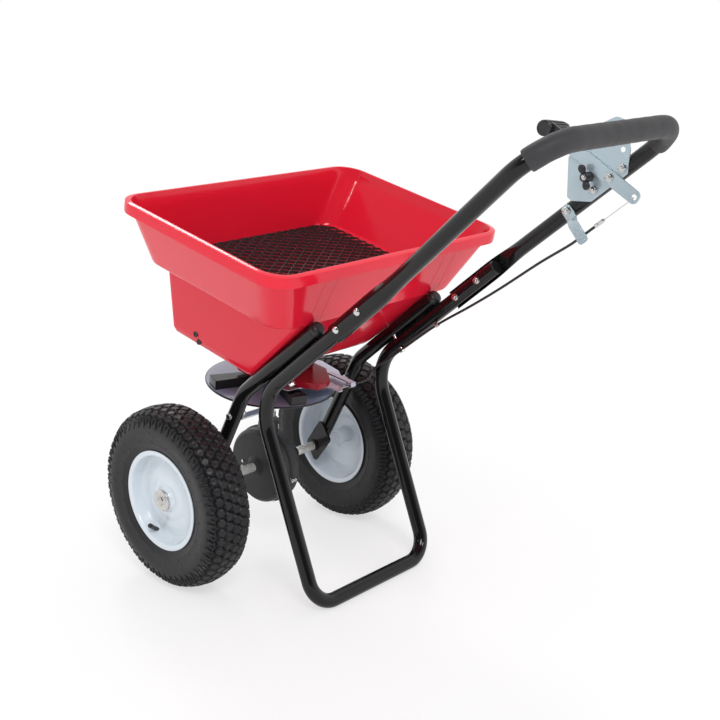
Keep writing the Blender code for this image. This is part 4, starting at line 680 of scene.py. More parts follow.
MIDDLE = np.zeros(3)
SCREW_CIRCLE = 0.0720
case_grey = finish("case_nylon", (0.020, 0.020, 0.022), (0.034, 0.034, 0.037), 0.46, 0.10, patch=16.0,
                   grain=750.0, relief=0.00006)
for label, sign, cone, boss in (("left", -1, 0.0290, 0.0300), ("right", 1, 0.0380, 0.0770)):
    half_case = [(0.0003, 0.0690), (0.0003, 0.0745), (0.0030, 0.0745), (0.0034, 0.0715), (0.0190, 0.0710),
                 (0.0250, 0.0650), (0.0250, 0.0210), (cone, 0.0155), (cone + 0.0005, 0.0125),
                 (boss, 0.0122), (boss, 0.0068), (0.0220, 0.0068), (0.0220, 0.0625), (0.0170, 0.0680)]
    bends = [0.0002, 0.0008, 0.0008, 0.0010, 0.0050, 0.0022, 0.002, 0.001, 0.0002, 0.0002, 0.0004,
             0.001, 0.003, 0.002]
    shapes = [lathed(half_case, bends, 5, X, MIDDLE, Y, 112, sign)]
    if sign > 0:
        neck, neck_faces = lathed([(0.050, 0.0085), (0.050, 0.0212), (0.0900, 0.0182), (0.0940, 0.0182),
                                   (0.0940, 0.0062), (0.052, 0.0062)],
                                  [0, 0.001, 0.002, 0.0012, 0.0005, 0], 4, Z, MIDDLE, X, 64)
        shapes.append((shaft_frame(neck), neck_faces))
    piece("gear_case_half_" + label, shapes, case_grey, "chassis", ["gear_case_" + label])
# Screws stand round the seam a sixth of a turn apart, but for the two places beside the neck.
seam_screws = []
for k in (0, 3, 4, 5):
    a = math.radians(177.8 - 60.0 * k)
    y, z = SCREW_CIRCLE * math.cos(a), SCREW_CIRCLE * math.sin(a)
    seam_screws += [stud((-0.0056, y, z), X,
                         [(0, 0.0030, 0), (0.0002, 0.0052, 0), (0.0012, 0.0060, 0),
                          (0.0026, 0.0060, 0)], count=20)]
piece("case_screws", bolt((-0.0078, -0.0785, 0.0030), X, 0.0035, 0.0080, 0.001, 0.0066)
      + seam_screws, bright_zinc, "chassis", ["case_screw"])
face_screws = [stud((-0.0268, y, z), X,
                    [(0, 0.0030, 0), (0.0003, 0.0058, 0), (0.0014, 0.0066, 0), (0.0030, 0.0066, 0)],
                    count=24) for y, z in ((0.0347, -0.0055), (-0.0073, -0.0048))]
piece("case_face_screws", face_screws, bright_zinc, "chassis")

# Axle: half inch ground steel rod, plated. It carries the crown gear inside the case and a
# spacer sleeve on either side of it, and the impeller's shaft rises from the pinion.


def at_axle(points):
    """Coordinates about the axle, level with the floor, to the floor's own."""
    return np.asarray(points, float) + AXLE


rod = lathed([(-0.243, 0.0001), (-0.243, 0.00635), (0.243, 0.00635), (0.243, 0.0001)],
             [0, 0.001, 0.001, 0], 3, X, MIDDLE, Y, 48, closed=False, step=0.02)
axle_steel = finish("plated_axle_steel", (0.60, 0.60, 0.58), (0.72, 0.72, 0.70), 0.22, 0.10,
                    patch=40.0, grain=1400.0, relief=0.00002, metallic=1.0)
piece("axle_rod", [rod], axle_steel, "drive_axle", ["axle"], at_axle)
sleeve_steel = finish("spacer_steel", (0.74, 0.75, 0.72), (0.84, 0.85, 0.82), 0.26, 0.06, patch=50.0,
                      grain=900.0, relief=0.000006, metallic=0.40)
sleeves = [lathed([(near, 0.0065), (near, 0.0086), (far, 0.0086), (far, 0.0065)], 0.0005, 3, X, MIDDLE, Y,
                  40) for near, far in ((-0.1246, -0.0306), (0.0776, 0.1246))]
piece("axle_spacer_sleeves", sleeves, sleeve_steel, "drive_axle", place=at_axle)
cotter = tube_grid(rounded_path([(-0.0600, 0, -0.0105), (-0.0600, 0, 0.0105), (-0.0572, 0, 0.0125),
                                 (-0.0552, 0, 0.0100)], [0, 0.001, 0.001, 0], 4), 0.0011, Y, 10)
piece("axle_split_pin", [skin(cotter)], axle_steel, "drive_axle", place=at_axle)
for label, sign in SIDES:
    bushing = lathed([(0.1252, 0.0067), (0.1252, 0.0118), (0.1282, 0.0122), (0.1282, 0.0096),
                      (0.1365, 0.0094), (0.1365, 0.0067)], 0.0004, 3, X, MIDDLE, Y, 48, sign)
    piece("axle_bush_" + label, [bushing], black_rubber, "chassis",
          ["axle_bushing_" + label])
for name in ("crown_gear", "pinion"):
    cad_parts[name].data.materials[0] = axle_steel
gear_shaft = lathed([(0.040, 0.0001), (0.040, 0.0050), (0.262, 0.0050), (0.262, 0.0001)],
                    [0, 0.0007, 0.0012, 0], 3, Z, MIDDLE, X, 36, closed=False, step=0.02)
piece("spinner_shaft", [gear_shaft], axle_steel, "spinner", ["impeller_shaft"], on_shaft)
collar = lathed([(0.0985, 0.0053), (0.0985, 0.0130), (0.1085, 0.0130), (0.1085, 0.0053)], 0.0006, 3,
                Z, MIDDLE, X, 40)
piece("set_collar", [collar, stud((0.0134, 0, 0.1035), (-1, 0, 0),
                                  [(0, 0.003, 0), (0, 0.0044, 1.16), (0.004, 0.0044, 1.16)])],
      axle_steel, "spinner", ["shaft_collar"], on_shaft)

# Impeller: a moulded disc on the shaft that throws the granules. It is bluish grey with a dark
# ring round its edge, and four black box shaped vanes stand on it.

DISC_LEVEL = 0.1690
VANE_ANGLE = math.radians(161.5)
disc_grey = finish("lilac_grey_plastic", (0.24, 0.29, 0.42), (0.31, 0.38, 0.53), 0.20, 0.05,
                   patch=14.0, grain=700.0, relief=0.000006, coat=0.5, coat_roughness=0.10)
disc = lathed([(0.1615, 0.0054), (0.1615, 0.0130), (DISC_LEVEL - 0.0012, 0.0150),
               (DISC_LEVEL - 0.0012, 0.1190), (DISC_LEVEL + 0.0014, 0.1196), (DISC_LEVEL + 0.0012, 0.0180),
               (0.1860, 0.0130), (0.1860, 0.0054)],
              [0.0003, 0.001, 0.002, 0.0004, 0.0004, 0.003, 0.001, 0.0003], 4, Z, MIDDLE, X, 144, step=0.006)
piece("impeller_disc", [disc], disc_grey, "spinner", ["impeller"], on_shaft)
vane_black = finish("vane_black_plastic", (0.004, 0.004, 0.005), (0.008, 0.008, 0.009), 0.22, 0.04,
                    patch=20.0, grain=800.0, relief=0.000004)
rim_edge = lathed([(DISC_LEVEL - 0.0014, 0.1168), (DISC_LEVEL - 0.0030, 0.1178),
                   (DISC_LEVEL - 0.0024, 0.1210), (DISC_LEVEL + 0.0012, 0.1210),
                   (DISC_LEVEL + 0.0010, 0.1200), (DISC_LEVEL - 0.0010, 0.1188)],
                  [0.0003, 0.0006, 0.001, 0.001, 0.0006, 0.0003], 4, Z, MIDDLE, X, 144)
vanes = [rim_edge]
for k in range(4):
    a = VANE_ANGLE + k * math.pi / 2
    out_from = np.array([math.cos(a), math.sin(a)])
    aside = np.array([-math.sin(a), math.cos(a)])
    vane_corners = [out_from * far + aside * half_width for far, half_width in
                    ((0.026, -0.0110), (0.1165, -0.0160), (0.1165, 0.0160), (0.026, 0.0110))]
    vanes.append(slab(rounded_path(vane_corners, 0.0025, 5, closed=True), DISC_LEVEL + 0.0008, 0.1875,
                      0.0009))
piece("impeller_vanes", vanes, vane_black, "spinner", place=on_shaft)

# Agitator: a plated hub on the shaft's head with two bent wire arms that keep the granules
# moving over the outlet.

arms = [lathed([(0.2460, 0.0053), (0.2460, 0.0110), (0.2570, 0.0110), (0.2570, 0.0053)], 0.0007, 3, Z,
               MIDDLE, X, 36)]
for sign in (-1, 1):
    arm = rounded_path([(sign * 0.008, 0, 0.2520), (sign * 0.034, 0, 0.2520), (sign * 0.046, 0, 0.2675)],
                       [0, 0.008, 0], 8)
    arms.append(skin(tube_grid(arm, 0.0028, Y, 16)))
piece("agitator_arms", arms, axle_steel, "spinner", ["agitator"], on_shaft)

# Wheels: thirteen inch pneumatic tyres on pressed steel rims painted bluish white. The left
# wheel is keyed to the axle and drives the gears; the right one turns freely.

WHEEL_X = 0.213
TYRE_COLUMNS = 540
CROWN_RADIUS, BEAD_START = 0.1650, 0.112
KNOBS, ROW_PITCH = 54, 0.0155
KNOB_HEIGHT, KNOB_GAP, KNOB_WALL = 0.0050, 0.0012, 0.0013
KNOB_DISH, UNEVEN = 0.0007, 0.00035
TREAD_HALF = 0.0420
SHOULDER_RIBS, RIB_HEIGHT, RIB_FOOT, RIB_END = 108, 0.0034, 0.0027, 0.0525
PIP_HEIGHT, PIP_WIDTH = 0.0013, 0.0015
BEAD_RINGS = ((0.0895, 0.0007), (0.0925, 0.0005), (0.0975, 0.0009))
STEM_ANGLE = math.radians(-62.0)
PIP_RINGS = ((0.0760, 14, 0.10), (0.0862, 18, 0.23), (0.0700, 9, 0.41))


def hexagon_depth(u, v, pitch_u, pitch_v):
    """Distance in metres from the nearest border of a staggered six sided cell: half the distance between
    the nearest centre and each neighbour, less how far the point has gone towards that neighbour."""
    best = np.full(u.shape, 1e9)
    centre_u, centre_v = np.zeros_like(u), np.zeros_like(u)
    row = np.round(v / pitch_v)
    for step in (-1, 0, 1):
        j = row + step
        shift = 0.5 * (np.abs(j) % 2)
        i = np.round(u / pitch_u - shift)
        cu, cv = (i + shift) * pitch_u, j * pitch_v
        d = (u - cu) ** 2 + (v - cv) ** 2
        near = d < best
        best = np.where(near, d, best)
        centre_u, centre_v = np.where(near, cu, centre_u), np.where(near, cv, centre_v)
    depth = np.full(u.shape, 1e9)
    for du, dv in ((1, 0), (-1, 0), (0.5, 1), (-0.5, 1), (0.5, -1), (-0.5, -1)):
        nu, nv = du * pitch_u, dv * pitch_v
        size = math.hypot(nu, nv)
        depth = np.minimum(depth, size / 2 - ((u - centre_u) * nu + (v - centre_v) * nv) / size)
    return depth, centre_u, centre_v


def tyre_grid(sign):
    """The section (a, r) carried round the axle. Along its normal, s metres from the crown, come the
    tread's knobs, each dished and a little uneven, the shoulder's ribs, a long one after a short one, the
    raised rings by the rim and small moulding pips. Past BEAD_START, inside the casing, a tenth of the
    rows stay."""
    half = [(0.0, CROWN_RADIUS), (0.028, 0.1620), (0.0400, 0.1490), (0.0436, 0.1300), (0.0395, 0.1060),
            (0.0345, 0.0930), (0.0343, 0.0836), (0.0250, 0.0836), (0.0265, 0.096), (0.0365, 0.134),
            (0.0, 0.157)]
    bends = [0, 0.030, 0.016, 0.050, 0.030, 0.003, 0.001, 0.001, 0.010, 0.020, 0]
    section = rounded_path(half, bends, 10)
    section, along = respaced(section, 0.0021)
    keep = (along < BEAD_START) | (np.arange(len(section)) % 10 == 0)
    section, along = section[keep], along[keep]
    ahead = np.gradient(section, axis=0)
    normal = np.stack([-ahead[:, 1], ahead[:, 0]], -1) / np.linalg.norm(ahead, axis=1)[:, None]
    normal *= np.where(normal[:1, 1:] > 0, 1.0, -1.0)
    theta = np.linspace(0, 2 * np.pi, TYRE_COLUMNS, endpoint=False)
    grids = []
    for side in (1, -1):
        t, s = np.meshgrid(theta, along)
        pitch = 2 * np.pi * CROWN_RADIUS / KNOBS
        u, v = t * CROWN_RADIUS, side * s
        depth, cu, cv = hexagon_depth(u, v, pitch, ROW_PITCH)
        top = np.clip((depth - KNOB_GAP) / KNOB_WALL, 0, 1)
        dish = np.clip((depth - 0.0045) / 0.0030, 0, 1) * KNOB_DISH
        wobble = UNEVEN * np.sin(cu * 911.0 + cv * 577.0)
        tread = 1 - smooth((s - TREAD_HALF) / 0.0030)
        height = tread * (top * (KNOB_HEIGHT - 0.0004 + wobble) - dish - KNOB_HEIGHT)
        rib = np.clip(1.35 * np.cos(SHOULDER_RIBS * t + (0.5 + 0.5 * side) * np.pi) + 0.35, 0, 1)
        long_rib = RIB_END + 0.0045 * np.cos(SHOULDER_RIBS / 2 * t)
        shoulder = smooth((s - 0.0410) / 0.0020) * (1 - smooth((s - long_rib) / 0.0050))
        height += shoulder * (rib * RIB_HEIGHT - RIB_FOOT)
        height -= 0.00088 * smooth((s - TREAD_HALF) / 0.0030) * (1 - smooth((s - 0.0530) / 0.0080))
        for place, size in BEAD_RINGS:
            height += size * np.exp(-((s - place) / 0.0009) ** 2)
        for place, count, turn_by in PIP_RINGS:
            a = (t / (2 * np.pi) * count + turn_by) % 1.0 - 0.5
            aside = a * 2 * np.pi * 0.11 / count / 0.0016
            height += PIP_HEIGHT * np.exp(-((s - place) / PIP_WIDTH) ** 2 - aside ** 2)
        a = section[:, 0, None] + normal[:, 0, None] * height
        r = section[:, 1, None] + normal[:, 1, None] * height
        grids.append(np.stack([side * a + 0 * t, r, t], -1))
    whole = np.concatenate([grids[0], grids[1][::-1][1:-1]])
    a, r, t = whole[..., 0], whole[..., 1], whole[..., 2]
    return np.stack([sign * (WHEEL_X + a), r * np.cos(t), r * np.sin(t)], -1)


rubber = finish("tyre_rubber", (0.009, 0.009, 0.011), (0.017, 0.017, 0.019), 0.40, 0.10, patch=22.0,
                grain=650.0, relief=0.00005, specular=0.36)
rim_white = finish("bluish_white_enamel", (0.62, 0.69, 0.75), (0.69, 0.75, 0.81), 0.20, 0.06,
                   patch=12.0, grain=900.0, relief=0.000010, coat=0.6)
rim_loop = [((-0.0370, 0.0905), 0.0010), ((-0.0346, 0.0913), 0.0008), ((-0.0340, 0.0832), 0.003),
            ((0.0340, 0.0832), 0.003), ((0.0346, 0.0913), 0.0008), ((0.0372, 0.0905), 0.0010),
            ((0.0362, 0.0815), 0.004), ((0.0135, 0.0775), 0.008), ((0.0118, 0.0680), 0.009),
            ((0.0155, 0.0570), 0.011), ((0.0180, 0.0400), 0.005), ((0.0215, 0.0355), 0.004),
            ((0.0225, 0.0230), 0.003), ((0.0300, 0.0185), 0.0015), ((0.0300, 0.0068), 0.0006),
            ((-0.0763, 0.0068), 0.0006), ((-0.0763, 0.0115), 0.0010), ((-0.0200, 0.0115), 0.001),
            ((-0.0200, 0.0150), 0.0012), ((0.0098, 0.0155), 0.004), ((0.0108, 0.0340), 0.004),
            ((0.0078, 0.0390), 0.005), ((0.0056, 0.0590), 0.006), ((0.0022, 0.0670), 0.006),
            ((0.0028, 0.0785), 0.007), ((-0.0362, 0.0812), 0.004)]
cap_steel = finish("hub_cap_steel", (0.50, 0.50, 0.48), (0.68, 0.67, 0.65), 0.22, 0.12, patch=90.0,
                   grain=600.0, relief=0.00012, metallic=1.0)
for label, sign, body in (("left", -1, "drive_axle"), ("right", 1, "free_wheel")):
    piece("tyre_" + label + "_moulded", [skin(tyre_grid(sign), ring=True)], rubber, body,
          ["tyre_" + label], at_axle, crease=60.0)
    centre = (sign * WHEEL_X, 0, 0)
    pressed = lathed([p for p, _ in rim_loop], [r for _, r in rim_loop], 6, X, centre, Y, 144, sign,
                     step=0.004)
    piece("rim_" + label + "_pressed", [pressed], rim_white, body, ["rim_" + label], at_axle)
    cap = lathed([(0.0303, 0.0001), (0.0303, 0.0196), (0.0332, 0.0198), (0.0344, 0.0175), (0.0334, 0.0118),
                  (0.0350, 0.0078), (0.0372, 0.0062), (0.0376, 0.0040), (0.0362, 0.0034),
                  (0.0362, 0.0001)], [0, 0.0004, 0.001, 0.0014, 0.002, 0.0015, 0.001, 0.0005, 0.0003, 0],
                 5, X, centre, Y, 64, sign, closed=False)
    piece("hub_cap_" + label + "_disc", [cap], cap_steel, body, ["hub_cap_" + label], at_axle)
    stem_out = np.array([0, math.cos(STEM_ANGLE), math.sin(STEM_ANGLE)])
    seat = np.array([sign * (WHEEL_X + 0.0180), 0, 0]) + stem_out * 0.0800
    leaning = -0.66 * stem_out + 0.75 * sign * X
    stem = lathed([(-0.0075, 0.0001), (-0.0075, 0.0060), (-0.0030, 0.0062), (-0.0020, 0.0040),
                   (0.0210, 0.0037), (0.0215, 0.0043), (0.0305, 0.0042), (0.0325, 0.0030),
                   (0.0325, 0.0001)], [0, 0.001, 0.0015, 0.001, 0.0005, 0.0003, 0.0012, 0.0006, 0],
                  4, leaning, seat, X, 28, closed=False)
    piece("valve_stem_" + label, [stem], black_rubber, body, ["valve_" + label], at_axle)

# Control plate: a five sided sheet zinc plate bolted flat on the inner side of the handle's
# right tube, with a curved slot for the rate stop. Its top edge is trimmed down by TOP_TRIM.

WIRE_ARM_W, WIRE_M = 0.0470, -0.0140
PIVOT = np.array([0.2345, 0.0])
LEVER_ALONG = unit([-0.340, -0.940])
PLATE_INNER = -0.0152
LEVER_INNER = -0.0185
TOP_TRIM, TRIM_BAND = 0.0065, 0.030


def control_frame(points):
    """Control to machine coordinates: up the tube, rearward and outboard from the handle's kink."""
    p = np.asarray(points, float)
    return KINK + p[..., :1] * UPWARD + p[..., 1:2] * REARWARD + p[..., 2:] * OUTBOARD


def on_control(points):
    """Control coordinates straight to the floor's."""
    return machine(control_frame(points))


blue_zinc = finish("blue_zinc_sheet", (0.47, 0.575, 0.635), (0.495, 0.60, 0.655), 0.25, 0.03,
                   patch=24.0, grain=300.0, relief=0.000001, metallic=0.55)
sheet = refined("control_plate_sheet", "control_plate", blue_zinc, "chassis", 0.0005)
sheet_points = np.empty(len(sheet.data.vertices) * 3)
sheet.data.vertices.foreach_get("co", sheet_points)
level = sheet_points[2::3]
sheet_points[2::3] = level - TOP_TRIM * np.clip((level - level.max() + TRIM_BAND) / TRIM_BAND, 0, 1)
sheet.data.vertices.foreach_set("co", sheet_points)
# Each bolt comes through the tube from outboard, with its nut and a washer on the sheet's inner face.
for name, u, face, washer in (("plate_bolt_upper", 0.2588, PLATE_INNER, 0.0108),
                              ("plate_bolt_lower", 0.2013, PLATE_INNER, 0.0108),
                              ("pivot_bolt", PIVOT[0], LEVER_INNER, 0.0144),
                              ("bracket_bolt", 0.1450, -0.0154, 0.0108)):
    through = [stud((u, 0, face - 0.0003), -Z,
                    [(0, 0.004, 0), (0.0002, washer, 0), (0.0011, washer, 0), (0.0013, 0.006, 0)], count=36)]
    through += nut((u, 0, face - 0.0055), Z, 0.0046, 0.0106)
    through.append(thread((u, 0, face - 0.0010), -Z, 0.0078, SHANK))
    through.append(stud((u, 0, face + 0.0002), Z, [(0, SHANK, 0), (0.0128 - face, SHANK, 0)], count=20))
    through.append(stud((u, 0, 0.0168), -Z,
                        [(0, 0.0060, 0), (0.0001, 0.0088, 0), (0.0006, 0.0098, 1.10),
                         (0.0037, 0.0098, 1.16)]))
    piece(name + "_set", through, bright_zinc, "chassis", [name], on_control)

# Control lever: a flat zinc strap that swings on the pivot bolt. Its long end carries a ribbed
# grip above the bar, and its short end works the cable's wire.

refined("lever_strap", "control_lever", blue_zinc, "lever", 0.0005)
GRIP_CENTRE = PIVOT + LEVER_ALONG * 0.131
GRIP_RIBS, GROOVE, GRIP_COLUMNS = 14, 0.0017, 216
grip_black = finish("ribbed_grip_rubber", (0.014, 0.013, 0.016), (0.028, 0.026, 0.030), 0.34, 0.10,
                    patch=40.0, grain=800.0)
grip_profile = rounded_path([(-0.0294, 0.0001), (-0.0294, 0.0084), (-0.0302, 0.0090), (-0.0302, 0.0112),
                             (-0.0286, 0.0127), (-0.0200, 0.0127), (0.0280, 0.0098), (0.0440, 0.0058),
                             (0.0440, 0.0001)],
                            [0, 0.0004, 0.0006, 0.0010, 0.0012, 0.004, 0.010, 0.003, 0], 5)
grip_profile, _ = respaced(grip_profile, 0.0022)
grip_grid = turned(grip_profile, Z, (*GRIP_CENTRE, 0.0), X, GRIP_COLUMNS)
turn_by = np.linspace(0, 2 * np.pi, GRIP_COLUMNS, endpoint=False)
groove = smooth((0.30 - np.cos(GRIP_RIBS * turn_by)) / 0.5)[None, :] * GROOVE
groove = groove * (smooth((grip_profile[:, 0] + 0.0265) / 0.003)
                   * smooth((0.040 - grip_profile[:, 0]) / 0.004))[:, None]
from_axis = grip_grid - np.array([*GRIP_CENTRE, 0.0])
from_axis[..., 2] = 0
length = np.maximum(np.linalg.norm(from_axis, axis=-1, keepdims=True), 1e-9)
grip_grid = grip_grid - from_axis / length * np.minimum(groove[..., None], length * 0.5)
collar_side = np.array([-LEVER_ALONG[1], LEVER_ALONG[0]])
collar_ends = [(0.094, 0.0118), (0.094, -0.0118), (0.131, -0.0122), (0.131, 0.0122)]
grip_collar = slab(rounded_path([PIVOT + LEVER_ALONG * a + collar_side * b for a, b in collar_ends], 0.003,
                                5, closed=True), -0.0206, -0.0134, 0.0010)
piece("lever_grip_ribbed", [skin(grip_grid), grip_collar], grip_black, "lever",
      ["lever_grip"], on_control)

# Rate stop: a black spacer that slides in the plate's slot on a long bolt, locked by a black
# plastic wing knob; it sets how far the lever opens the gate.

STOP = np.array([0.2065, -0.0205])
stop_shapes = [stud((*STOP, -0.0158), -Z,
                    [(0, 0.008, 0), (0.0003, 0.0150, 0), (0.0010, 0.0160, 0), (0.0066, 0.0160, 0),
                     (0.0072, 0.0150, 0), (0.0072, 0.0064, 0)], count=40),
               stud((*STOP, -0.0122), Z, [(0, 0.0062, 0), (0.0001, 0.0098, 0), (0.0006, 0.0104, 1.1),
                                          (0.0022, 0.0104, 1.16), (0.0026, 0.0098, 0)])]
piece("rate_stop_spacer", stop_shapes, grip_black, "rate_stop_slider", ["rate_stop"],
      on_control)
stop_bolt = stud((*STOP, -0.0110), -Z, [(0, SHANK, 0), (0.0250, SHANK, 0), (0.0256, 0.0050, 0)], count=20)
piece("rate_stop_bolt", [stop_bolt], bright_zinc, "rate_stop_slider", place=on_control)
wing = unit([0.32, -0.947])
knob = lathed([(-0.0233, 0.0032), (-0.0233, 0.0080), (-0.0285, 0.0078), (-0.0345, 0.0068),
               (-0.0345, 0.0056), (-0.0333, 0.0048), (-0.0333, 0.0032)],
              [0.0002, 0.0012, 0.002, 0.0008, 0.0005, 0.0004, 0.0002], 4, Z, (*STOP, 0), X, 48)
knob_shapes = [knob]
wing_side = np.array([-wing[1], wing[0]])
LOBE_OUT, LOBE_LONG, LOBE_WIDE = 0.0116, 0.0074, 0.0046
for sign in (-1, 1):
    s = np.linspace(0, 2 * np.pi, 32, endpoint=False)
    rows = []
    for level, swell in ((-0.0268, 0.35), (-0.0272, 0.78), (-0.0290, 0.97), (-0.0325, 1.0),
                         (-0.0358, 0.97), (-0.0374, 0.78), (-0.0377, 0.35)):
        c, d = sign * np.cos(s)[:, None], np.sin(s)[:, None]
        lobe = (STOP + sign * wing * LOBE_OUT + sign * wing * (LOBE_LONG * swell * c * (1 + 0.12 * c))
                + wing_side * (LOBE_WIDE * swell * d * (1 + 0.35 * c)))
        rows.append(np.column_stack([lobe, np.full(len(s), level)]))
    knob_shapes.append(skin(np.array(rows)))
piece("wing_knob_moulded", knob_shapes, grip_black, "wing_nut", ["wing_knob"], on_control)
insert_at = (*STOP, -0.0330)
insert = [stud(insert_at, -Z, [(0, 0.0040, 0), (0.0001, 0.0082, 1.16), (0.0016, 0.0082, 1.12),
                               (0.0018, 0.0076, 0)]), thread(insert_at, -Z, 0.0050, 0.0056)]
piece("wing_knob_insert", insert, bright_zinc, "wing_nut", place=on_control)

# Cable bracket: a zinc strap off the tube's inner side, joggled to meet the cable, with four
# short beads pressed across its outer half.

refined("bracket_strap", "cable_bracket", blue_zinc, "chassis", 0.0004)
presses = []
for w, span in ((0.0335, 0.0052), (0.0395, 0.0052), (0.0475, 0.0048), (0.0545, 0.0048)):
    bead = rounded_path([(0.1450 - span, w - 0.0016), (0.1450 + span, w - 0.0016),
                         (0.1450 + span, w + 0.0016), (0.1450 - span, w + 0.0016)], 0.0015, 5, closed=True)
    presses.append(slab(bead, -0.0205, -0.0221, 0.0006))
piece("bracket_beads", presses, blue_zinc, "chassis", place=on_control)

# Cable: a black sheathed casing from the bracket down beside the right rail to the anchor under
# the outlet, with a bare wire out of each end to the lever and to the gate.

CASING_RADIUS, WIRE_RADIUS = 0.0022, 0.0008
EAR = np.array([0.0320, -0.1400])
WIRE_LEVEL = 0.1946
casing_top = np.array([0.1840, WIRE_ARM_W, WIRE_M])
strap_at = np.array([0.1250, WIRE_ARM_W, WIRE_M])
# Machine points that the casing passes on its way down, beside the rail and round under the outlet.
hung = np.array([(0.1405, -0.4004, 0.5351), (0.1390, -0.3382, 0.4658), (0.1370, -0.2886, 0.4138),
                 (0.1350, -0.2282, 0.3534), (0.1280, -0.1730, 0.2868), (0.1260, -0.1453, 0.2534),
                 (0.1220, -0.1210, 0.2246), (0.1175, -0.1205, 0.2115)])


def spline(points, steps):
    """Catmull-Rom curve through b and c: half of (2b + (c - a) s + (2a - 5b + 4c - d) s squared
    + (3b - a - 3c + d) s cubed)."""
    p = np.asarray(points, float)
    a, b, c, d = p[:-3, None], p[1:-2, None], p[2:-1, None], p[3:, None]
    s = (np.arange(steps) / steps)[:, None]
    bent = 2 * b + (c - a) * s + (2 * a - 5 * b + 4 * c - d) * s ** 2 + (3 * b - a - 3 * c + d) * s ** 3
    return 0.5 * bent.reshape(-1, 3)


start_at, strap_point = control_frame(casing_top), control_frame(strap_at)
foot_at, straight_at = (shaft_frame(np.array([x, EAR[1], WIRE_LEVEL])) for x in (0.0640, 0.1080))
route = np.vstack([start_at, 0.5 * (start_at + strap_point),
                   spline(np.vstack([start_at, strap_point, hung, straight_at, foot_at]), 12),
                   straight_at, 0.5 * (straight_at + foot_at), foot_at])
route, _ = respaced(route, 0.006)
sheath = finish("cable_sheath", (0.010, 0.010, 0.011), (0.020, 0.020, 0.022), 0.34, 0.08, patch=60.0,
                grain=900.0)
piece("cable_sheathed", [skin(tube_grid(route, CASING_RADIUS, OUTBOARD, 20))], sheath, "chassis",
      ["cable_casing"])
end_sleeve = lathed([(0.1720, 0.0023), (0.1720, 0.0034), (0.1780, 0.0034), (0.1786, 0.0030),
                     (0.1800, 0.0030), (0.1806, 0.0034), (0.1880, 0.0033), (0.1905, 0.0022),
                     (0.1905, 0.0010), (0.1842, 0.0010), (0.1842, 0.0023)], 0.0003, 3, X,
                    (0, WIRE_ARM_W, WIRE_M), Y, 32)
piece("cable_end_sleeve", [end_sleeve], bright_zinc, "chassis", ["cable_ferrule"],
      on_control)
hook_u = (PIVOT - LEVER_ALONG * 0.050)[0] - 0.0005
upper = rounded_path([(0.1740, WIRE_ARM_W, WIRE_M), (hook_u, WIRE_ARM_W, WIRE_M),
                      (hook_u, WIRE_ARM_W, LEVER_INNER - 0.0030)], [0, 0.0015, 0], 6)
piece("wire_upper", [skin(tube_grid(respaced(upper, 0.01)[0], WIRE_RADIUS, Y, 12))],
      bright_zinc, "upper_wire", ["control_wire_upper"], on_control)
lower = rounded_path([(0.1020, EAR[1], WIRE_LEVEL), (EAR[0], EAR[1], WIRE_LEVEL),
                      (EAR[0], EAR[1], 0.1900)], [0, 0.0015, 0], 6)
piece("wire_lower", [skin(tube_grid(respaced(lower, 0.01)[0], WIRE_RADIUS, Y, 12))], bright_zinc, "gate",
      ["control_wire_lower"], on_shaft)
refined("anchor_tab", "cable_anchor", lilac_zinc, "chassis", 0.0003)
refined("clip_loop", "cable_clip", bright_zinc, "chassis", 0.0002)

# Gate pins: two shouldered pins screwed up into the outlet hold the gate against it, each with
# a nut and washer below.

for k, (x, v) in enumerate(((0.0440, -0.0240), (0.0440, -0.0800)), 1):
    pin = [stud((x, v, 0.2020), -Z, [(0, 0.0040, 0), (0.0002, SHANK, 0), (0.0140, SHANK, 0),
                                     (0.0146, 0.0050, 0)], count=20),
           stud((x, v, 0.1913), -Z, [(0, 0.0050, 0), (0.0001, 0.0110, 0), (0.0008, 0.0110, 0),
                                     (0.0009, 0.0085, 0), (0.0012, 0.0090, 1.12), (0.0030, 0.0090, 1.16),
                                     (0.0034, 0.0082, 0)])]
    piece("gate_pin_%d" % k, pin, bright_zinc, "chassis", ["gate_guide_%d" % k], on_shaft)

# Photograph's view: the camera stands behind the machine and to its left, a little above the
# handle. Two soft suns light the object, from the camera's side and from the far side, and two
# narrow ones only add shine.

view_ahead = unit((0.7013, 0.6581, -0.2739))
view_right = np.array([0.6818, -0.7315, -0.0119])
view_right = unit(view_right - (view_right @ view_ahead) * view_ahead)
lens = bpy.data.cameras.new("photo_camera")
lens.lens = 60.24
lens.sensor_width = 36.0
camera = bpy.data.objects.new("photo_camera", lens)
turn = np.stack([view_right, np.cross(view_right, view_ahead), -view_ahead], 1)
camera.matrix_world = Matrix.Translation((-1.4346, -1.3031, 0.9734)) @ Matrix(turn.tolist()).to_4x4()
bpy.context.scene.collection.objects.link(camera)
bpy.context.scene.camera = camera

LAMPS = (("soft_sky", (-0.60, -0.90, 1.10), 1.15, 20.0, False),
         ("back_light", (0.42, 0.62, 0.75), 0.42, 13.0, False),
         ("lamp_left", (-0.830, 0.173, 0.530), 0.30, 7.0, True),
         ("lamp_right", (0.121, -0.840, 0.530), 0.30, 7.0, True))
for label, towards, strength, spread, shine_only in LAMPS:
    lamp = bpy.data.lights.new(label, "SUN")
    lamp.energy = strength
    lamp.angle = math.radians(spread)
    held = bpy.data.objects.new(label, lamp)
    held.location = towards
    held.rotation_euler = Vector(towards).to_track_quat("Z", "Y").to_euler()
    held.visible_diffuse = not shine_only
    bpy.context.scene.collection.objects.link(held)

# Room: an even white surround, white to the camera and in reflections. In reflections it darkens
# towards DARK_SIDE, above the camera, as a studio does, so that gloss keeps its depth.

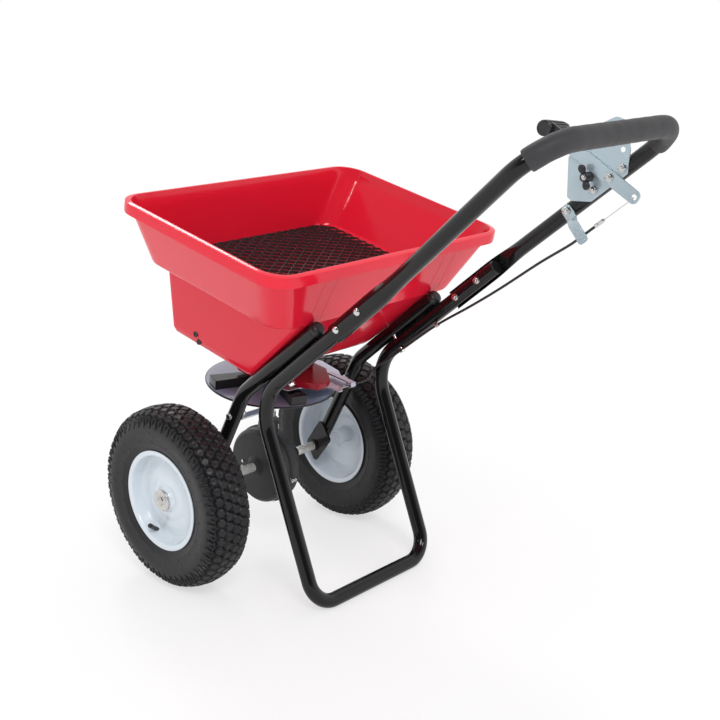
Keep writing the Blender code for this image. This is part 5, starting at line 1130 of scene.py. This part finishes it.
DARK_SIDE = (-0.52, -0.49, 0.70)
AMBIENT = 0.82
WHITE = (1.0, 1.0, 1.0, 1.0)
room = bpy.data.worlds.new("white_room")
room.use_nodes = True
bpy.context.scene.world = room
tree = room.node_tree
seen = wired(tree, "LightPath", {}).outputs
clear = wired(tree, "Math", {0: seen["Is Camera Ray"], 1: seen["Is Glossy Ray"]}, operation="MAXIMUM")
any_clear = wired(tree, "Math", {0: clear.outputs[0], 1: seen["Is Transmission Ray"]}, operation="MAXIMUM")
facing = wired(tree, "VectorMath", {0: wired(tree, "TexCoord", {}).outputs["Generated"], 1: unit(DARK_SIDE)},
               operation="DOT_PRODUCT")
dim = wired(tree, "MapRange", {"From Min": 0.15, "From Max": 0.72, "To Min": 1.0, "To Max": 0.08,
                               "Value": facing.outputs["Value"]}, interpolation_type="SMOOTHSTEP")
lit_side = wired(tree, "Math", {0: dim.outputs["Result"], 1: seen["Is Camera Ray"]}, operation="MAXIMUM")
ambient = tree.nodes["Background"]
ambient.inputs["Color"].default_value = WHITE
ambient.inputs["Strength"].default_value = AMBIENT
bright = wired(tree, "Background", {"Color": WHITE, "Strength": lit_side.outputs[0]})
blend = wired(tree, "MixShader", {0: any_clear.outputs[0], 1: ambient.outputs[0], 2: bright.outputs[0]})
tree.links.new(blend.outputs[0], tree.nodes["World Output"].inputs["Surface"])

# Floor: plain pale paint, with a share of white added for the camera alone, so that it stays pale
# and keeps the object's shadow.

FLOOR_REACH = 14.0
CAMERA_SHARE = 0.60
floor_paint = finish("pale_floor_paint", (0.90, 0.90, 0.90), (0.93, 0.93, 0.93), 0.6, 0.05, patch=0.5,
                     grain=60.0)
tree = floor_paint.node_tree
camera_ray = wired(tree, "LightPath", {}).outputs["Is Camera Ray"]
share = wired(tree, "Math", {0: camera_ray, 1: CAMERA_SHARE}, operation="MULTIPLY")
white = wired(tree, "Emission", {"Strength": 1.0})
blend = wired(tree, "MixShader", {0: share.outputs[0], 1: tree.nodes["Principled BSDF"].outputs[0],
                                  2: white.outputs[0]})
tree.links.new(blend.outputs[0], tree.nodes["Material Output"].inputs["Surface"])
floor_mesh = bpy.data.meshes.new("pale_floor")
floor_corners = np.array([(-1, -1, 0), (1, -1, 0), (1, 1, 0), (-1, 1, 0)]) * FLOOR_REACH
floor_mesh.from_pydata(floor_corners.tolist(), [], [(0, 1, 2, 3)])
floor_mesh.materials.append(floor_paint)
pale_floor = bpy.data.objects.new("pale_floor", floor_mesh)
bpy.context.scene.collection.objects.link(pale_floor)

bpy.context.scene.view_settings.view_transform = "Standard"
